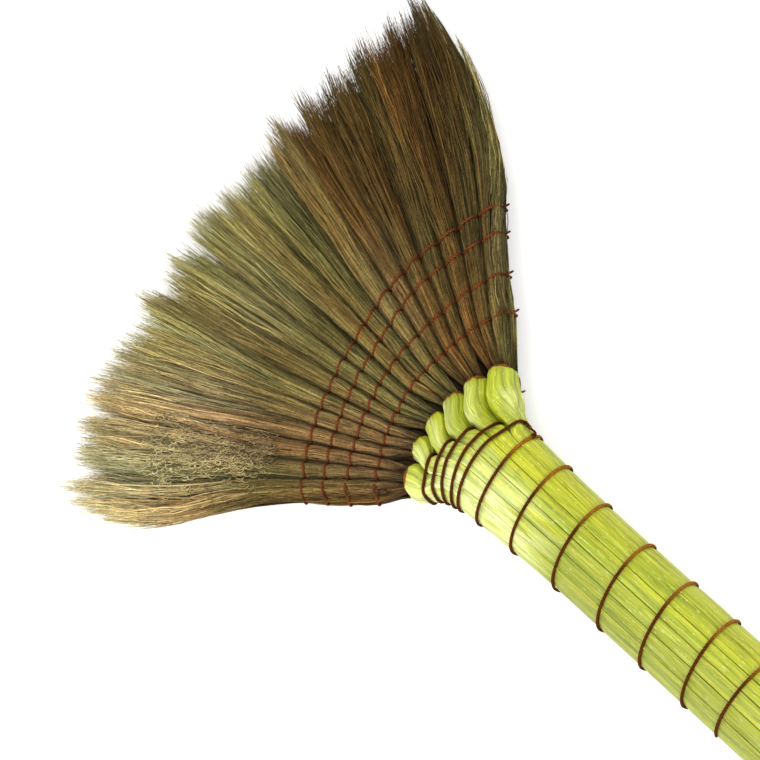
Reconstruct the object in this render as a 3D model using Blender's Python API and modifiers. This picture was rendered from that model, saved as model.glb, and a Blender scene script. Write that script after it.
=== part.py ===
"""Fan-shaped hand broom, lying flat: six bundles of broom grass in green sleeves, bound into a
round handle by one spiral cord and sewn flat by four rows of twine. Metres, +Z up, the handle
along -Y and the fan towards +Y.

Every piece is placed on lay lines. Lay line u (-1 left edge, 1 right edge) runs straight up the
handle, bends in the neck and then follows a ray from the fan's pole. Station s is the way along it
from the start of the neck, negative down the handle; past the bend it is the distance to the pole
less pole_drop.
"""

import math
import random

import bmesh
import bpy
from mathutils import Vector

mm = 0.001

# Lay lines
bundles = 6
tie_spread_angle = math.radians(45)  # from the handle's axis to the edge, at the neck ties
fan_spread_angle = math.radians(42.3)  # and from the rows of twine on
spread_radii = (51.5 * mm, 57 * mm)  # between which the one becomes the other
pole_drop = 6 * mm  # from the start of the neck back to the fan's pole
bend_radius = 40 * mm  # from the pole, where the lay lines become straight rays
curl_angle = math.radians(3.4)  # how far the tips at the edges bend back in
curl_lean_share = 0.85  # nearly all of it at the right
curl_power = 5

# In the neck the lay lines sway to the left where the cord passes and to the right at the ties
notch_sway_share = 0.10
notch_sway_station, notch_sway_length = 26 * mm, 14 * mm
tie_sway_share = 0.10
tie_sway_length = 9 * mm

# Handle
handle_length = 159 * mm
neck_half_width = 20.3 * mm
neck_half_thickness = 15.5 * mm
grip_half_width = 18.3 * mm
grip_half_thickness = 17.8 * mm
grip_taper = 60 * mm  # length over which the neck's section becomes the grip's

# Sleeves and the stalks in them
clearance = 0.32 * mm  # between pieces that touch
sleeve_gap = 0.4 * mm
sleeve_wall = 0.9 * mm
stalk_clearance = 0.75 * mm
lobe_half_thickness = 8.6 * mm
tie_radius = 45.6 * mm  # from the pole to a neck tie at the middle of the fan
tie_lean_share, tie_bow_share = 0.06, 0.04  # further out to the right, and at both edges
tie_half_width = 4.2 * mm
tie_half_thickness = 6.4 * mm
tie_taper = 11 * mm  # length over which a lobe narrows to its tie
rim_lip = 2.2 * mm  # sleeve beyond the middle of its tie
slab_power, lobe_power = 4.0, 2.3  # superellipse powers of the sections
ring_corners = 12
bend_sections = 8
sharp_angle = math.radians(40)
least_turn_cosine = 0.5  # of half the turn at a corner, where a ring is grown

# Grass
ribs_per_bundle = 3
strands_in_column = (6, 5, 6)  # left, middle and right column of a rib
plug_length = 3.6 * mm
plug_proud = 0.2 * mm
root_depth = 0.6 * mm  # below the plug's face
root_share = 0.83  # of the plug's half-width and half-thickness that roots fill
row_half_thickness = 7.6 * mm  # of the grass where the first row of twine holds it
tip_half_thickness = 8.4 * mm
root_rounding_share = 0.7  # how much lower the plug's side columns are rooted
rib_rounding = 1.3 * mm  # a rib's side columns are this much lower
tip_rounding = 0.8 * mm
rib_fill_share = 0.56  # of the rib's width that strands fill at the first row
tip_fill_share = 0.80
curl_place_share = 0.55  # of a strand's way from the first row to its tip, where the right edge bends in
curl_start_share = 0.8  # ribs further to the right than this bend back in
core_share = 0.9  # strands nearer the middle of the thickness than this go straight past the rows
tip_radius = 190 * mm  # of the middle of the fan
tip_lean_share, tip_bow_share = 0.076, 0.147  # the fan is longer to the right, and at both edges
right_corner_share, left_corner_share = 0.115, 0.05  # how much the corners are rounded off
tip_corner_power = 8
tip_ragged_share = 0.12  # of its last stretch, how much shorter a strand may be
strand_root_radius = 0.20 * mm
strand_row_radius = 0.55 * mm
strand_mid_radius = 0.85 * mm
strand_tip_radius = 0.65 * mm
first_row_drop = 0.6 * mm  # of the fan's middle at the first row
rest_cut = 0.5 * mm  # how deep the strands that touch the ground are cut flat

# Cords
cord_diameter = 1.5 * mm
cord_rest_share = 0.1  # of the cord that is cut flat where the handle rests
cord_sides, thin_cord_sides = 6, 4
hitch_corner_index, hitch_point_count = 1, 4
tie_cord_diameter = 1.0 * mm
tie_turns = 1.5
tie_pitch = 1.7 * mm
twine_diameter = 1.2 * mm
twine_clearance = 0.45 * mm
twine_dip = 0.9 * mm  # between two ribs
twine_lap = 1.8 * mm  # the two ends of a row lie this far apart
twine_turn_share = 1.4  # of its reach, where a row turns round the fan's edge
turn_level_share, end_level_share = 0.6, 0.1  # of the row's half-thickness, at its turns and ends
row_radii = (60.5 * mm, 73.5 * mm, 84 * mm, 94 * mm)  # of the rows at the middle of the fan
row_lean_share, row_bow_share = 0.14, 0.085

# Where the binding cord passes: (station at the right, station at the left) of each turn
neck_turns = (
    (29.6 * mm, 25.4 * mm),
    (26.4 * mm, 20.6 * mm),
    (23.4 * mm, 15.8 * mm),
    (17.6 * mm, 11.4 * mm),
    (12.5 * mm, 8.2 * mm),
)
first_turn_bundles = 2  # held by the first of these turns; each of the others holds one more
grip_first_turn = 2.4 * mm  # station at the right
grip_turn_slant = 6 * mm  # how much further down the same turn is at the left
grip_turn_pitch = 22 * mm
grip_turns = 7
last_turn_slant = 1.7 * mm

floor_depth = 5 * mm
floor_side = 600 * mm
sliver = 0.01 * mm
step = 0.01  # for slopes, in lay-line units or as a share of a length
gap_samples, gap_skip = 5, 3  # how finely a cord's gap to itself is measured, and from how far on

bend_length = bend_radius - pole_drop
axis_height = grip_half_thickness + clearance + cord_diameter * (1 - cord_rest_share)
tip_height = tip_half_thickness - rest_cut
notch_half_width = cord_diameter / 2 + clearance
notch_half_length = 2 * cord_diameter
ribs = bundles * ribs_per_bundle


def mix(a, b, t):
    return a + (b - a) * t


def ease(t):
    """0 to 1, level at both ends."""
    t = min(max(t, 0), 1)
    return t * t * (3 - 2 * t)


def bump(t):
    """1 at 0 and level, down to 0 at -1 and 1."""
    return 1 - ease(abs(t))


# Lay lines


def grip_share(s):
    t = min(max(-s / grip_taper, 0), 1)
    return t * (2 - t)


def half_width(s):
    return mix(neck_half_width, grip_half_width, grip_share(s))


def half_thickness(s):
    return mix(neck_half_thickness, grip_half_thickness, grip_share(s))


def spread_angle(r):
    near, far = spread_radii
    return mix(tie_spread_angle, fan_spread_angle, ease((r - near) / (far - near)))


def ray(u, r, curl=0):
    """The point at r from the pole on lay line u, beyond the bend."""
    angle = u * spread_angle(r) - curl
    return Vector((r * math.sin(angle), r * math.cos(angle) - pole_drop, 0))


def tie_on(u):
    """The station of the neck ties on lay line u."""
    return tie_radius * (1 + tie_lean_share * u + tie_bow_share * u * u) - pole_drop


def swayed(u, s):
    """Lay line u moved sideways at station s. The sway at the ties fades towards the right."""
    left = notch_sway_share * bump((s - notch_sway_station) / notch_sway_length) * (1 - u * u)
    beyond = max(abs(s - tie_on(u)) - rim_lip, 0)
    right = tie_sway_share * bump(beyond / tie_sway_length)
    return u - left + right * (1 - u) * (1 - ((1 - u) / 2) ** 4)


def lay(u, s):
    """The point of lay line u at station s, in the plan."""
    if s <= 0:
        return Vector((u * half_width(s), s, 0))
    return bent(swayed(u, s), s)


def bent(u, s):
    """The same without the sway: a cubic through the bend, then a ray."""
    if s >= bend_length:
        return ray(u, s + pole_drop)
    start, end = Vector((u * neck_half_width, 0, 0)), ray(u, bend_radius)
    flare = 2 * (neck_half_width - grip_half_width) / grip_taper
    leave = Vector((u * flare, 1, 0)).normalized()
    angle = u * tie_spread_angle
    arrive = Vector((math.sin(angle), math.cos(angle), 0))
    reach = (end - start).length
    t = s / bend_length
    return (
        start * (1 - t) ** 2 * (1 + 2 * t)
        + end * t**2 * (3 - 2 * t)
        + leave * reach * t * (1 - t) ** 2
        - arrive * reach * t**2 * (1 - t)
    )


def across(u, s):
    """The width in metres of one unit of u."""
    return (lay(u + step, s) - lay(u - step, s)).length / (2 * step)


def along(u, s):
    """The direction of lay line u at station s."""
    return (lay(u, s + bend_length * step) - lay(u, s - bend_length * step)).normalized()


def at_height(point, z):
    return Vector((point.x, point.y, z))


# Sections of a bundle


def middle(k):
    return (2 * k + 1) / bundles - 1


def tie_at(k):
    return tie_on(middle(k))


def tie_share(k, s):
    """0 in the lobe of bundle k, 1 at its neck tie and beyond."""
    return ease((s - tie_at(k) + tie_taper) / tie_taper)


def joins_at(k):
    """The station where bundle k, counted from 0 at the left, is bound to those before it."""
    return neck_turns[max(k - 1, 0)][0]


def side_width(k, s, side):
    """From the middle of bundle k to its left (-1) or right (1) face."""
    full = across(middle(k), s) / bundles - sleeve_gap / 2
    turn = k - 1 if side > 0 else k - 2  # the turn of cord that passes between these two
    if 0 <= turn < len(neck_turns):
        depth = notch_half_width - sleeve_gap / 2
        full -= depth * bump((s - neck_turns[turn][0]) / notch_half_length)
    return mix(full, tie_half_width, tie_share(k, s))


def top(k, u, s):
    """Half the thickness of bundle k on lay line u: the handle's oval, then the bundle's lobe."""
    oval = half_thickness(s) * math.sqrt(max(1 - u * u, 0))
    lobe = mix(lobe_half_thickness, tie_half_thickness, tie_share(k, s))
    return mix(oval, lobe, ease(s / joins_at(k)))


def section(k, s):
    """The corners of bundle k's outline at station s, from its right face over its top."""
    power = mix(slab_power, lobe_power, ease(s / joins_at(k)))
    corners = []
    for i in range(ring_corners):
        angle = 2 * math.pi * i / ring_corners
        c, v = (math.copysign(abs(w) ** (2 / power), w) for w in (math.cos(angle), math.sin(angle)))
        u = middle(k) + c * side_width(k, s, c) / across(middle(k), s)
        corners.append(at_height(lay(u, s), axis_height + v * top(k, u, s)))
    return corners


def grown(corners, forward, distance):
    """The ring of corners with its sides moved outwards by distance, seen along forward."""
    moved = []
    for i, corner in enumerate(corners):
        before = forward.cross(corner - corners[i - 1]).normalized()
        after = forward.cross(corners[(i + 1) % len(corners)] - corner).normalized()
        between = (before + after).normalized()
        moved.append(corner + between * distance / max(between.dot(before), least_turn_cosine))
    return moved


def shrunk(corners, forward, distance):
    """The ring drawn in: each corner moves to the middle until it is that far from every side."""
    centre = sum(corners, Vector()) / len(corners)
    sides = []
    for i, corner in enumerate(corners):
        outward = forward.cross(corner - corners[i - 1]).normalized()
        sides.append((outward, outward.dot(corner - centre) - distance))
    moved = []
    for corner in corners:
        way = corner - centre
        moved.append(centre + way * min(room / n.dot(way) for n, room in sides if n.dot(way) > 0))
    return moved


def ring(k, s, distance):
    shape = grown if distance > 0 else shrunk
    return shape(section(k, s), along(middle(k), s), abs(distance))


# Making objects


def clear_scene():
    for obj in list(bpy.data.objects):
        bpy.data.objects.remove(obj, do_unlink=True)


def collection(name):
    made = bpy.data.collections.new(name)
    bpy.context.scene.collection.children.link(made)
    return made


def material(name, colour, roughness):
    made = bpy.data.materials.new(name)
    made.use_nodes = True
    shader = made.node_tree.nodes["Principled BSDF"]
    shader.inputs["Base Color"].default_value = (*colour, 1)
    shader.inputs["Roughness"].default_value = roughness
    shader.inputs["Metallic"].default_value = 0
    return made


def new_object(name, data, group, look=None):
    obj = bpy.data.objects.new(name, data)
    if look is not None:
        data.materials.append(look)
    group.objects.link(obj)
    return obj


def helper(name, data, group):
    obj = new_object(name, data, group)
    obj.hide_render = True
    obj.display_type = "WIRE"
    return obj


def loft(name, rings, capped):
    """A skin through the rings, each of the same number of corners."""
    mesh = bpy.data.meshes.new(name)
    bm = bmesh.new()
    rows = [[bm.verts.new(corner) for corner in corners] for corners in rings]
    for lower, upper in zip(rows, rows[1:]):
        for i in range(len(lower)):
            j = (i + 1) % len(lower)
            bm.faces.new((lower[i], lower[j], upper[j], upper[i]))
    if capped:
        bm.faces.new(rows[0])
        bm.faces.new(rows[-1])
    bmesh.ops.recalc_face_normals(bm, faces=bm.faces)
    if bm.calc_volume(signed=True) < 0:
        bmesh.ops.reverse_faces(bm, faces=bm.faces)
    bm.to_mesh(mesh)
    bm.free()
    mesh.shade_smooth()
    mesh.set_sharp_from_angle(angle=sharp_angle)
    return mesh


def tube(name, points, diameter, sides):
    """The curve of a cord of that many sides through the points."""
    curve = bpy.data.curves.new(name, "CURVE")
    curve.dimensions = "3D"
    curve.bevel_depth = diameter / 2
    curve.bevel_resolution = (sides - 4) // 2
    curve.use_fill_caps = True
    spline = curve.splines.new("POLY")
    spline.points.add(len(points) - 1)
    for place, point in zip(spline.points, points):
        place.co = (*point, 1)
    return curve


def baked(curve, group):
    """The curve's mesh with its caps welded, so that it can be cut or joined."""
    obj = new_object(curve.name, curve, group)
    bpy.context.view_layer.update()
    graph = bpy.context.evaluated_depsgraph_get()
    mesh = bpy.data.meshes.new_from_object(obj.evaluated_get(graph))
    bpy.data.objects.remove(obj)
    bm = bmesh.new()
    bm.from_mesh(mesh)
    bmesh.ops.remove_doubles(bm, verts=bm.verts, dist=sliver)
    bmesh.ops.recalc_face_normals(bm, faces=bm.faces)
    bm.to_mesh(mesh)
    bm.free()
    return mesh


def boolean(obj, other, operation):
    modifier = obj.modifiers.new(operation.lower(), "BOOLEAN")
    modifier.operation = operation
    modifier.solver = "EXACT"
    modifier.object = other


# Sleeves and stalks


def neck_stations(k):
    """Stations of bundle k's sections from the start of the neck to its rim."""
    tie = tie_at(k)
    notches = {neck_turns[t][0] for t in (k - 2, k - 1) if 0 <= t < len(neck_turns)}
    marks = {bend_length * i / bend_sections for i in range(bend_sections + 1)}
    for notch in notches:
        marks |= {notch - notch_half_length, notch, notch + notch_half_length}
    marks = sorted(m for m in marks if m < tie - rim_lip - cord_diameter)
    spaced = [marks[0]]
    for mark in marks[1:]:
        if mark in notches and spaced[-1] not in notches and mark - spaced[-1] < cord_diameter:
            spaced[-1] = mark
        elif mark - spaced[-1] >= cord_diameter:
            spaced.append(mark)
    return spaced + [tie - rim_lip, tie + rim_lip]


grip_stations = (-handle_length, -handle_length / 2, -grip_taper, -grip_taper / 2)


def make_sleeve(k, group, look):
    """The green sleeve that is wrapped round a bundle's stalks, from the butt to its lobe's rim."""
    rings = [section(k, s) for s in (*grip_stations, *neck_stations(k))]
    obj = new_object(f"sleeve_{k + 1}", loft(f"sleeve_{k + 1}", rings, False), group, look)
    wall = obj.modifiers.new("wall", "SOLIDIFY")
    wall.thickness = sleeve_wall
    wall.offset = -1
    wall.use_even_offset = True
    return obj


def make_stalks(k, group, look):
    """The stalks in the sleeve, cut flat at the butt."""
    inset = -(sleeve_wall + stalk_clearance)
    last = tie_at(k) - plug_length - clearance
    stations = [s for s in (*grip_stations, *neck_stations(k)) if s < last - cord_diameter] + [last]
    rings = [ring(k, s, inset) for s in stations]
    return new_object(f"stalks_{k + 1}", loft(f"stalks_{k + 1}", rings, True), group, look)


# Grass


def tip_length(u):
    corner = (right_corner_share if u > 0 else left_corner_share) * abs(u) ** tip_corner_power
    return tip_radius * (1 + tip_lean_share * u + tip_bow_share * u * u) * (1 - corner)


def tip_curl(u):
    return curl_angle * (1 + curl_lean_share * u) * u**curl_power


def strand_places(k):
    """(column across the plug, height, column in the rib, rib) of each strand, all -1 to 1 but the rib."""
    columns = ribs_per_bundle * len(strands_in_column)
    places = []
    for rib in range(ribs_per_bundle):
        for column, count in enumerate(strands_in_column):
            c = 2 * (rib * len(strands_in_column) + column) / (columns - 1) - 1
            for i in range(count):
                places.append((c, 2 * i / (count - 1) - 1, column - 1, k * ribs_per_bundle + rib))
    return places


def height_at_row(v, column):
    """Height of a strand over the ground at the first row."""
    half = row_half_thickness - rib_rounding * abs(column)
    return axis_height - first_row_drop + v * half


def strand_points(k, c, v, column, rib, share):
    """A strand's points from its root in the plug, past the rows of twine, to its tip."""
    room = sleeve_wall + clearance
    width, thick = tie_half_width - room, tie_half_thickness - room
    root_s = tie_at(k) + rim_lip + plug_proud - root_depth
    root_u = middle(k) + root_share * c * width / across(middle(k), root_s)
    root_z = axis_height + root_share * v * thick * math.sqrt(1 - root_rounding_share * c * c)
    u_rib, half_rib = (2 * rib + 1) / ribs - 1, 1 / ribs
    row_u = u_rib + column * half_rib * rib_fill_share
    tip_u = u_rib + column * half_rib * tip_fill_share
    row_z = height_at_row(v, column)
    tip_z = tip_height + v * (tip_half_thickness - tip_rounding * abs(column))
    first = row_radii[0] * (1 + row_lean_share * row_u + row_bow_share * row_u * row_u)
    length = tip_length(tip_u)
    points = [at_height(lay(root_u, root_s), root_z)]
    if abs(v) > core_share:
        points.append(at_height(ray(row_u, first), row_z))
    if u_rib > curl_start_share:
        t = curl_place_share
        points.append(at_height(ray(mix(row_u, tip_u, t), mix(first, length, t)), mix(row_z, tip_z, t)))
    longest = at_height(ray(tip_u, length, tip_curl(tip_u)), tip_z)
    points.append(points[-1].lerp(longest, share))
    return points


def triangle_profile(group):
    """The strands' three-sided section, one unit in radius."""
    curve = bpy.data.curves.new("strand_section", "CURVE")
    curve.dimensions = "2D"
    spline = curve.splines.new("POLY")
    spline.points.add(2)
    for i, place in enumerate(spline.points):
        angle = 2 * math.pi * i / 3
        place.co = (math.cos(angle), math.sin(angle), 0, 1)
    spline.use_cyclic_u = True
    return helper("strand_section", curve, group)


def make_grass(k, group, look, tools, profile, floor):
    """One tuft: its strands, joined to the plug that sits in the mouth of the sleeve."""
    luck = random.Random(k)
    curve = bpy.data.curves.new(f"strands_{k + 1}", "CURVE")
    curve.dimensions = "3D"
    curve.bevel_mode = "OBJECT"
    curve.bevel_object = profile
    curve.use_fill_caps = True
    for place in strand_places(k):
        on_ground = place[1] == -1 and place[2] == 0
        share = 1 if on_ground else 1 - tip_ragged_share * luck.random()
        points = strand_points(k, *place, share)
        radii = [strand_root_radius, strand_row_radius, strand_mid_radius][: len(points) - 1]
        radii.append(strand_tip_radius)
        spline = curve.splines.new("POLY")
        spline.points.add(len(points) - 1)
        for knot, point, radius in zip(spline.points, points, radii):
            knot.co = (*point, 1)
            knot.radius = radius
    strands = helper(f"strand_tool_{k + 1}", baked(curve, tools), tools)
    inset = -(sleeve_wall + clearance)
    rings = [ring(k, tie_at(k) + way, inset) for way in (-plug_length, rim_lip + plug_proud)]
    obj = new_object(f"grass_{k + 1}", loft(f"grass_{k + 1}", rings, True), group, look)
    boolean(obj, strands, "UNION")
    boolean(obj, floor, "DIFFERENCE")
    return obj


# Cords


def turn_places():
    """(bundle, corner of its section, station) that the binding cord passes, turn after turn."""
    quarter = ring_corners // 4
    turns = [(i + first_turn_bundles, *stations) for i, stations in enumerate(neck_turns)]
    right = grip_first_turn
    for i in range(grip_turns):
        slant = grip_turn_slant if i < grip_turns - 1 else last_turn_slant
        turns.append((bundles, right, right - slant))
        right -= grip_turn_pitch
    places = []
    for turn, following in zip(turns, turns[1:] + [None]):
        held, s_right, s_left = turn
        over = [(held - 1, quarter - 1)] + [(k, quarter) for k in range(held - 1, -1, -1)]
        over += [(0, i) for i in range(quarter + 1, 2 * quarter + 1)]
        places += spread_out(over, s_right, s_left)
        if following is None:
            break
        held, s_next = following[0], following[1]
        under = [(0, i) for i in range(2 * quarter, 3 * quarter)]
        under += [(k, 3 * quarter) for k in range(held)]
        places += spread_out(under, s_left, s_next)[1:]
        rise = range(3 * quarter + 1, 5 * quarter - 1)
        places += [(held - 1, i % ring_corners, s_next) for i in rise]
    return places


def spread_out(corners, first, last):
    """Stations from first to last for a run of section corners, by their distance across."""
    way = [0]
    for (k, i), (m, j) in zip(corners, corners[1:]):
        a, b = section(k, first)[i], section(m, first)[j]
        way.append(way[-1] + (b - a).length)
    return [(k, i, mix(first, last, w / way[-1])) for (k, i), w in zip(corners, way)]


def make_binding(group, look, tools, floor):
    """The spiral cord: it takes in one bundle after another at the neck and goes on down the handle."""
    reach = clearance + cord_diameter / 2
    points = [ring(k, s, reach)[i] for k, i, s in turn_places()]
    report_gap("binding_cord", points, cord_diameter)
    curve = tube("binding_cord", points, cord_diameter, cord_sides)
    obj = new_object("binding_cord", baked(curve, tools), group, look)
    boolean(obj, floor, "DIFFERENCE")
    return obj


def make_hitch(group, look):
    """The short length of cord that ties the last neck turn to the first turn of the grip."""
    last = bundles - 1
    apart = cord_diameter + clearance
    start, end = neck_turns[-1][0] - apart, grip_first_turn + apart
    reach = clearance + cord_diameter / 2
    stations = [mix(start, end, i / (hitch_point_count - 1)) for i in range(hitch_point_count)]
    points = [ring(last, s, reach)[hitch_corner_index] for s in stations]
    return new_object("hitch_cord", tube("hitch_cord", points, cord_diameter, cord_sides), group, look)


def make_tie(k, group, look):
    """The tie that closes a sleeve round the grass."""
    reach = clearance + tie_cord_diameter / 2
    count = round(tie_turns * ring_corners)
    points = []
    for i in range(count + 1):
        s = tie_at(k) + tie_pitch * (i / ring_corners - tie_turns / 2)
        points.append(ring(k, s, reach)[(i + k) % ring_corners])
    if k == 0:
        report_gap("neck_tie", points, tie_cord_diameter)
    name = f"neck_tie_{k + 1}"
    return new_object(name, tube(name, points, tie_cord_diameter, thin_cord_sides), group, look)


def row_place(row, u, level, lap):
    """A point of a row of twine: level is 1 on top of the ribs, -1 under them."""
    r = row_radii[row] * (1 + row_lean_share * u + row_bow_share * u * u) + lap
    inside = min(max(u, -1), 1)
    first = row_radii[0] * (1 + row_lean_share * inside + row_bow_share * inside**2)
    t = max(r - first, 0) / (tip_length(inside) - first)
    reach = twine_clearance + (twine_diameter + strand_row_radius + strand_mid_radius) / 2
    half = mix(row_half_thickness, tip_half_thickness, t) + reach
    z = mix(axis_height - first_row_drop, tip_height, t) + level * half
    return at_height(ray(u, r), z)


def make_row(row, group, look):
    """A row of twine: over the ribs from right to left, round the edge and back under them."""
    u_edge = 1 - (1 - tip_fill_share) / ribs
    reach = twine_clearance + twine_diameter / 2 + strand_mid_radius
    edge = u_edge + twine_turn_share * reach / (row_radii[row] * fan_spread_angle)
    over = []
    for i in range(ribs):
        u = 1 - (2 * i + 1) / ribs
        over.append((u, 1, 0))
        if i < ribs - 1:
            over.append((u - 1 / ribs, 1, twine_dip))
    level, low = turn_level_share, end_level_share
    turn = [(-u_edge, 1, 0), (-edge, level, 0), (-edge, -level, 0), (-u_edge, -1, 0)]
    under = [(-u, -1, 0) for u, _, dip in over if dip == 0]
    start = [(edge, low, 0), (edge, level, 0), (u_edge, 1, 0)]
    end = [(u_edge, -1, 0), (edge, -level, 0), (edge, low, 0)]
    route = start + over + turn + under + end
    points = []
    for i, (u, height, dip) in enumerate(route):
        lap = twine_lap * i / (len(route) - 1) - twine_lap / 2
        point = row_place(row, u, height, lap)
        point.z -= math.copysign(dip, height)
        points.append(point)
    report_gap(f"stitch_row_{row + 1}", points, twine_diameter)
    name = f"stitch_row_{row + 1}"
    return new_object(name, tube(name, points, twine_diameter, thin_cord_sides), group, look)


def report_gap(name, points, diameter):
    """Prints the least gap between stretches of one cord that are not neighbours."""
    least = math.inf
    for i, a in enumerate(points[:-1]):
        for j in range(i + gap_skip, len(points) - 1):
            least = min(least, segment_gap(a, points[i + 1], points[j], points[j + 1]))
    print(f"{name}: least gap to itself {(least - diameter) / mm:.2f} mm")


def segment_gap(a, b, c, d):
    """Distance between segments ab and cd, sampled along both."""
    samples = [i / (gap_samples - 1) for i in range(gap_samples)]
    return min((a.lerp(b, t) - c.lerp(d, w)).length for t in samples for w in samples)


# The broom


def settle(group, tools):
    """Moves the broom, and its tools with it, so that its box is centred over the origin."""
    bpy.context.view_layer.update()
    graph = bpy.context.evaluated_depsgraph_get()
    points = []
    for obj in group.objects:
        done = obj.evaluated_get(graph)
        points += [vertex.co.copy() for vertex in done.to_mesh().vertices]
        done.to_mesh_clear()
    low = Vector(min(p[axis] for p in points) for axis in range(3))
    high = Vector(max(p[axis] for p in points) for axis in range(3))
    frame = bpy.data.objects.new("broom_frame", None)
    group.objects.link(frame)
    for obj in [*group.objects, *tools.objects]:
        if obj is not frame:
            obj.parent = frame
    frame.location = (-(low.x + high.x) / 2, -(low.y + high.y) / 2, 0)
    print("frame moved by", tuple(round(v / mm, 3) for v in frame.location), "mm")


def main():
    clear_scene()
    broom, tools = collection("hand_broom"), collection("tools")
    green = material("sleeve_green", (0.62, 0.72, 0.10), 0.35)
    straw = material("stalk_straw", (0.55, 0.45, 0.22), 0.7)
    grass = material("grass_olive", (0.27, 0.20, 0.09), 0.8)
    red = material("cord_red_brown", (0.28, 0.09, 0.04), 0.5)
    terracotta = material("twine_terracotta", (0.34, 0.10, 0.05), 0.6)
    floor_mesh = bpy.data.meshes.new("floor_tool")
    bm = bmesh.new()
    bmesh.ops.create_cube(bm, size=1)
    bmesh.ops.scale(bm, vec=(floor_side, floor_side, floor_depth), verts=bm.verts)
    bmesh.ops.translate(bm, vec=(0, 0, -floor_depth / 2), verts=bm.verts)
    bm.to_mesh(floor_mesh)
    bm.free()
    floor = helper("floor_tool", floor_mesh, tools)
    profile = triangle_profile(tools)
    for k in range(bundles):
        make_sleeve(k, broom, green)
        make_stalks(k, broom, straw)
        make_grass(k, broom, grass, tools, profile, floor)
        make_tie(k, broom, red)
    make_binding(broom, red, tools, floor)
    make_hitch(broom, red)
    for row in range(len(row_radii)):
        make_row(row, broom, terracotta)
    settle(broom, tools)


main()
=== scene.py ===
import math

import bpy
import numpy as np
from mathutils import Matrix, Vector


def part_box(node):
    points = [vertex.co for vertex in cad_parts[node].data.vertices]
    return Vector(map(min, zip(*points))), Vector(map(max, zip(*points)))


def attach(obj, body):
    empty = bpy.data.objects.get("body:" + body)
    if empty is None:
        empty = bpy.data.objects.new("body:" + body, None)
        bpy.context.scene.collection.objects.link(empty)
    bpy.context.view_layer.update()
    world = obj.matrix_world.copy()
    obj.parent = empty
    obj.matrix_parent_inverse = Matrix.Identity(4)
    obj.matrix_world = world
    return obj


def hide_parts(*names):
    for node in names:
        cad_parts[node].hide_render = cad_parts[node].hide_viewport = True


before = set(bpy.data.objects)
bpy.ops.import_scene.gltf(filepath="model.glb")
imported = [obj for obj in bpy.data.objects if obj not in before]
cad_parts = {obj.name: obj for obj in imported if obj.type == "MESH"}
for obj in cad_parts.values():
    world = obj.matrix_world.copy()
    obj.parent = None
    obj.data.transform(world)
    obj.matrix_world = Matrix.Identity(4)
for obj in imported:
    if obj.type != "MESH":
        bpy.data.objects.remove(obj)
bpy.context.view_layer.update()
mm = 0.001

# The broom's sizes. A lay line u runs from -1, the left edge, to 1, the right edge; a station s is
# the way along it from the start of the neck, negative down the handle; r is the distance from the
# fan's pole.
broom = {
    "bundles": 6,
    "ribs": 18,
    "spreads": (math.radians(45), math.radians(42.3)),  # at the neck ties, and from the rows on
    "spreadRadii": (51.5 * mm, 57 * mm),
    "poleDrop": 6 * mm,
    "bendRadius": 40 * mm,
    "curl": (math.radians(3.4), 0.85, 0.45),  # angle, more to the right, where it starts
    "notchSway": (0.10, 26 * mm, 14 * mm),  # share, station, half length
    "tieSway": (0.10, 9 * mm, 2.2 * mm),  # share, length, level part
    "handleLength": 159 * mm,
    "neckHalf": (20.3 * mm, 15.5 * mm),  # half width, half thickness
    "gripHalf": (18.3 * mm, 17.8 * mm),
    "gripTaper": 60 * mm,
    # distances from the pole: at the middle, then the shares added to the right and at both edges
    "tie": (45.6 * mm, 0.06, 0.04),
    "rows": (60.5 * mm, 73.5 * mm, 84 * mm, 94 * mm),
    "rowShape": (0.14, 0.085),
    "rowRight": (-2.2 * mm, -1.2 * mm, 3.6 * mm, 3.4 * mm),  # further out on the right half
    "rowRightWhole": 0.55,  # the lay line from which on that is so in full
    "tip": (190 * mm, 0.076, 0.147),
    "corners": (0.05, 0.115),  # how much the left and the right corner are rounded off
    "rowHalf": 7.6 * mm,
    "tipHalf": 8.4 * mm,
    "tipHeight": 7.9 * mm,
    "rowDrop": 0.6 * mm,  # of the fan's middle plane, from the ties to the first row
    "axisHeight": 19.47 * mm,
    "axisX": 1.338 * mm,  # the handle's axis in the frame
}
bendLength = broom["bendRadius"] - broom["poleDrop"]
axisZ = broom["axisHeight"]
rowCount = len(broom["rows"])
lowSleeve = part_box("sleeve_1")
shift = np.array([broom["axisX"], lowSleeve[0][1] + broom["handleLength"], 0.0])

# Where the handle's cord passes in the neck: bundles held, station at the right and at the left
neckTurns = (
    (2, 29.6 * mm, 28.0 * mm),
    (3, 26.4 * mm, 22.6 * mm),
    (4, 23.4 * mm, 17.6 * mm),
    (5, 17.6 * mm, 12.6 * mm),
    (6, 12.5 * mm, 8.4 * mm),
)


def mixed(a, b, t):
    return a + (b - a) * t


# eased: 3t^2 - 2t^3 of t held to 0..1
def eased(t):
    t = np.clip(t, 0, 1)
    return t * t * (3 - 2 * t)


# rising: eased from 0 to 1, from the first length of the span on and over the second
def rising(r, span):
    return eased((r - span[0]) / span[1])


# bell: exp(-x^2)
def bell(x):
    return np.exp(-(x**2))


# superellipse: |c|^p + |v|^p = 1, c across and v up, at the angles phi
def superellipse(phi, power):
    reach = (np.abs(np.cos(phi)) ** power + np.abs(np.sin(phi)) ** power) ** (-1 / power)
    return reach * np.cos(phi), reach * np.sin(phi)


# circle: even angles all the way round
def circle(corners):
    return np.arange(corners) * 2 * math.pi / corners


def unitRows(v):
    return v / np.maximum(np.linalg.norm(v, axis=-1, keepdims=True), 1e-12)


# way along: the distance from the first point to each, from point to point
def wayAlong(points):
    return np.concatenate([[0], np.cumsum(np.linalg.norm(np.diff(points, axis=0), axis=1))])


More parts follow.
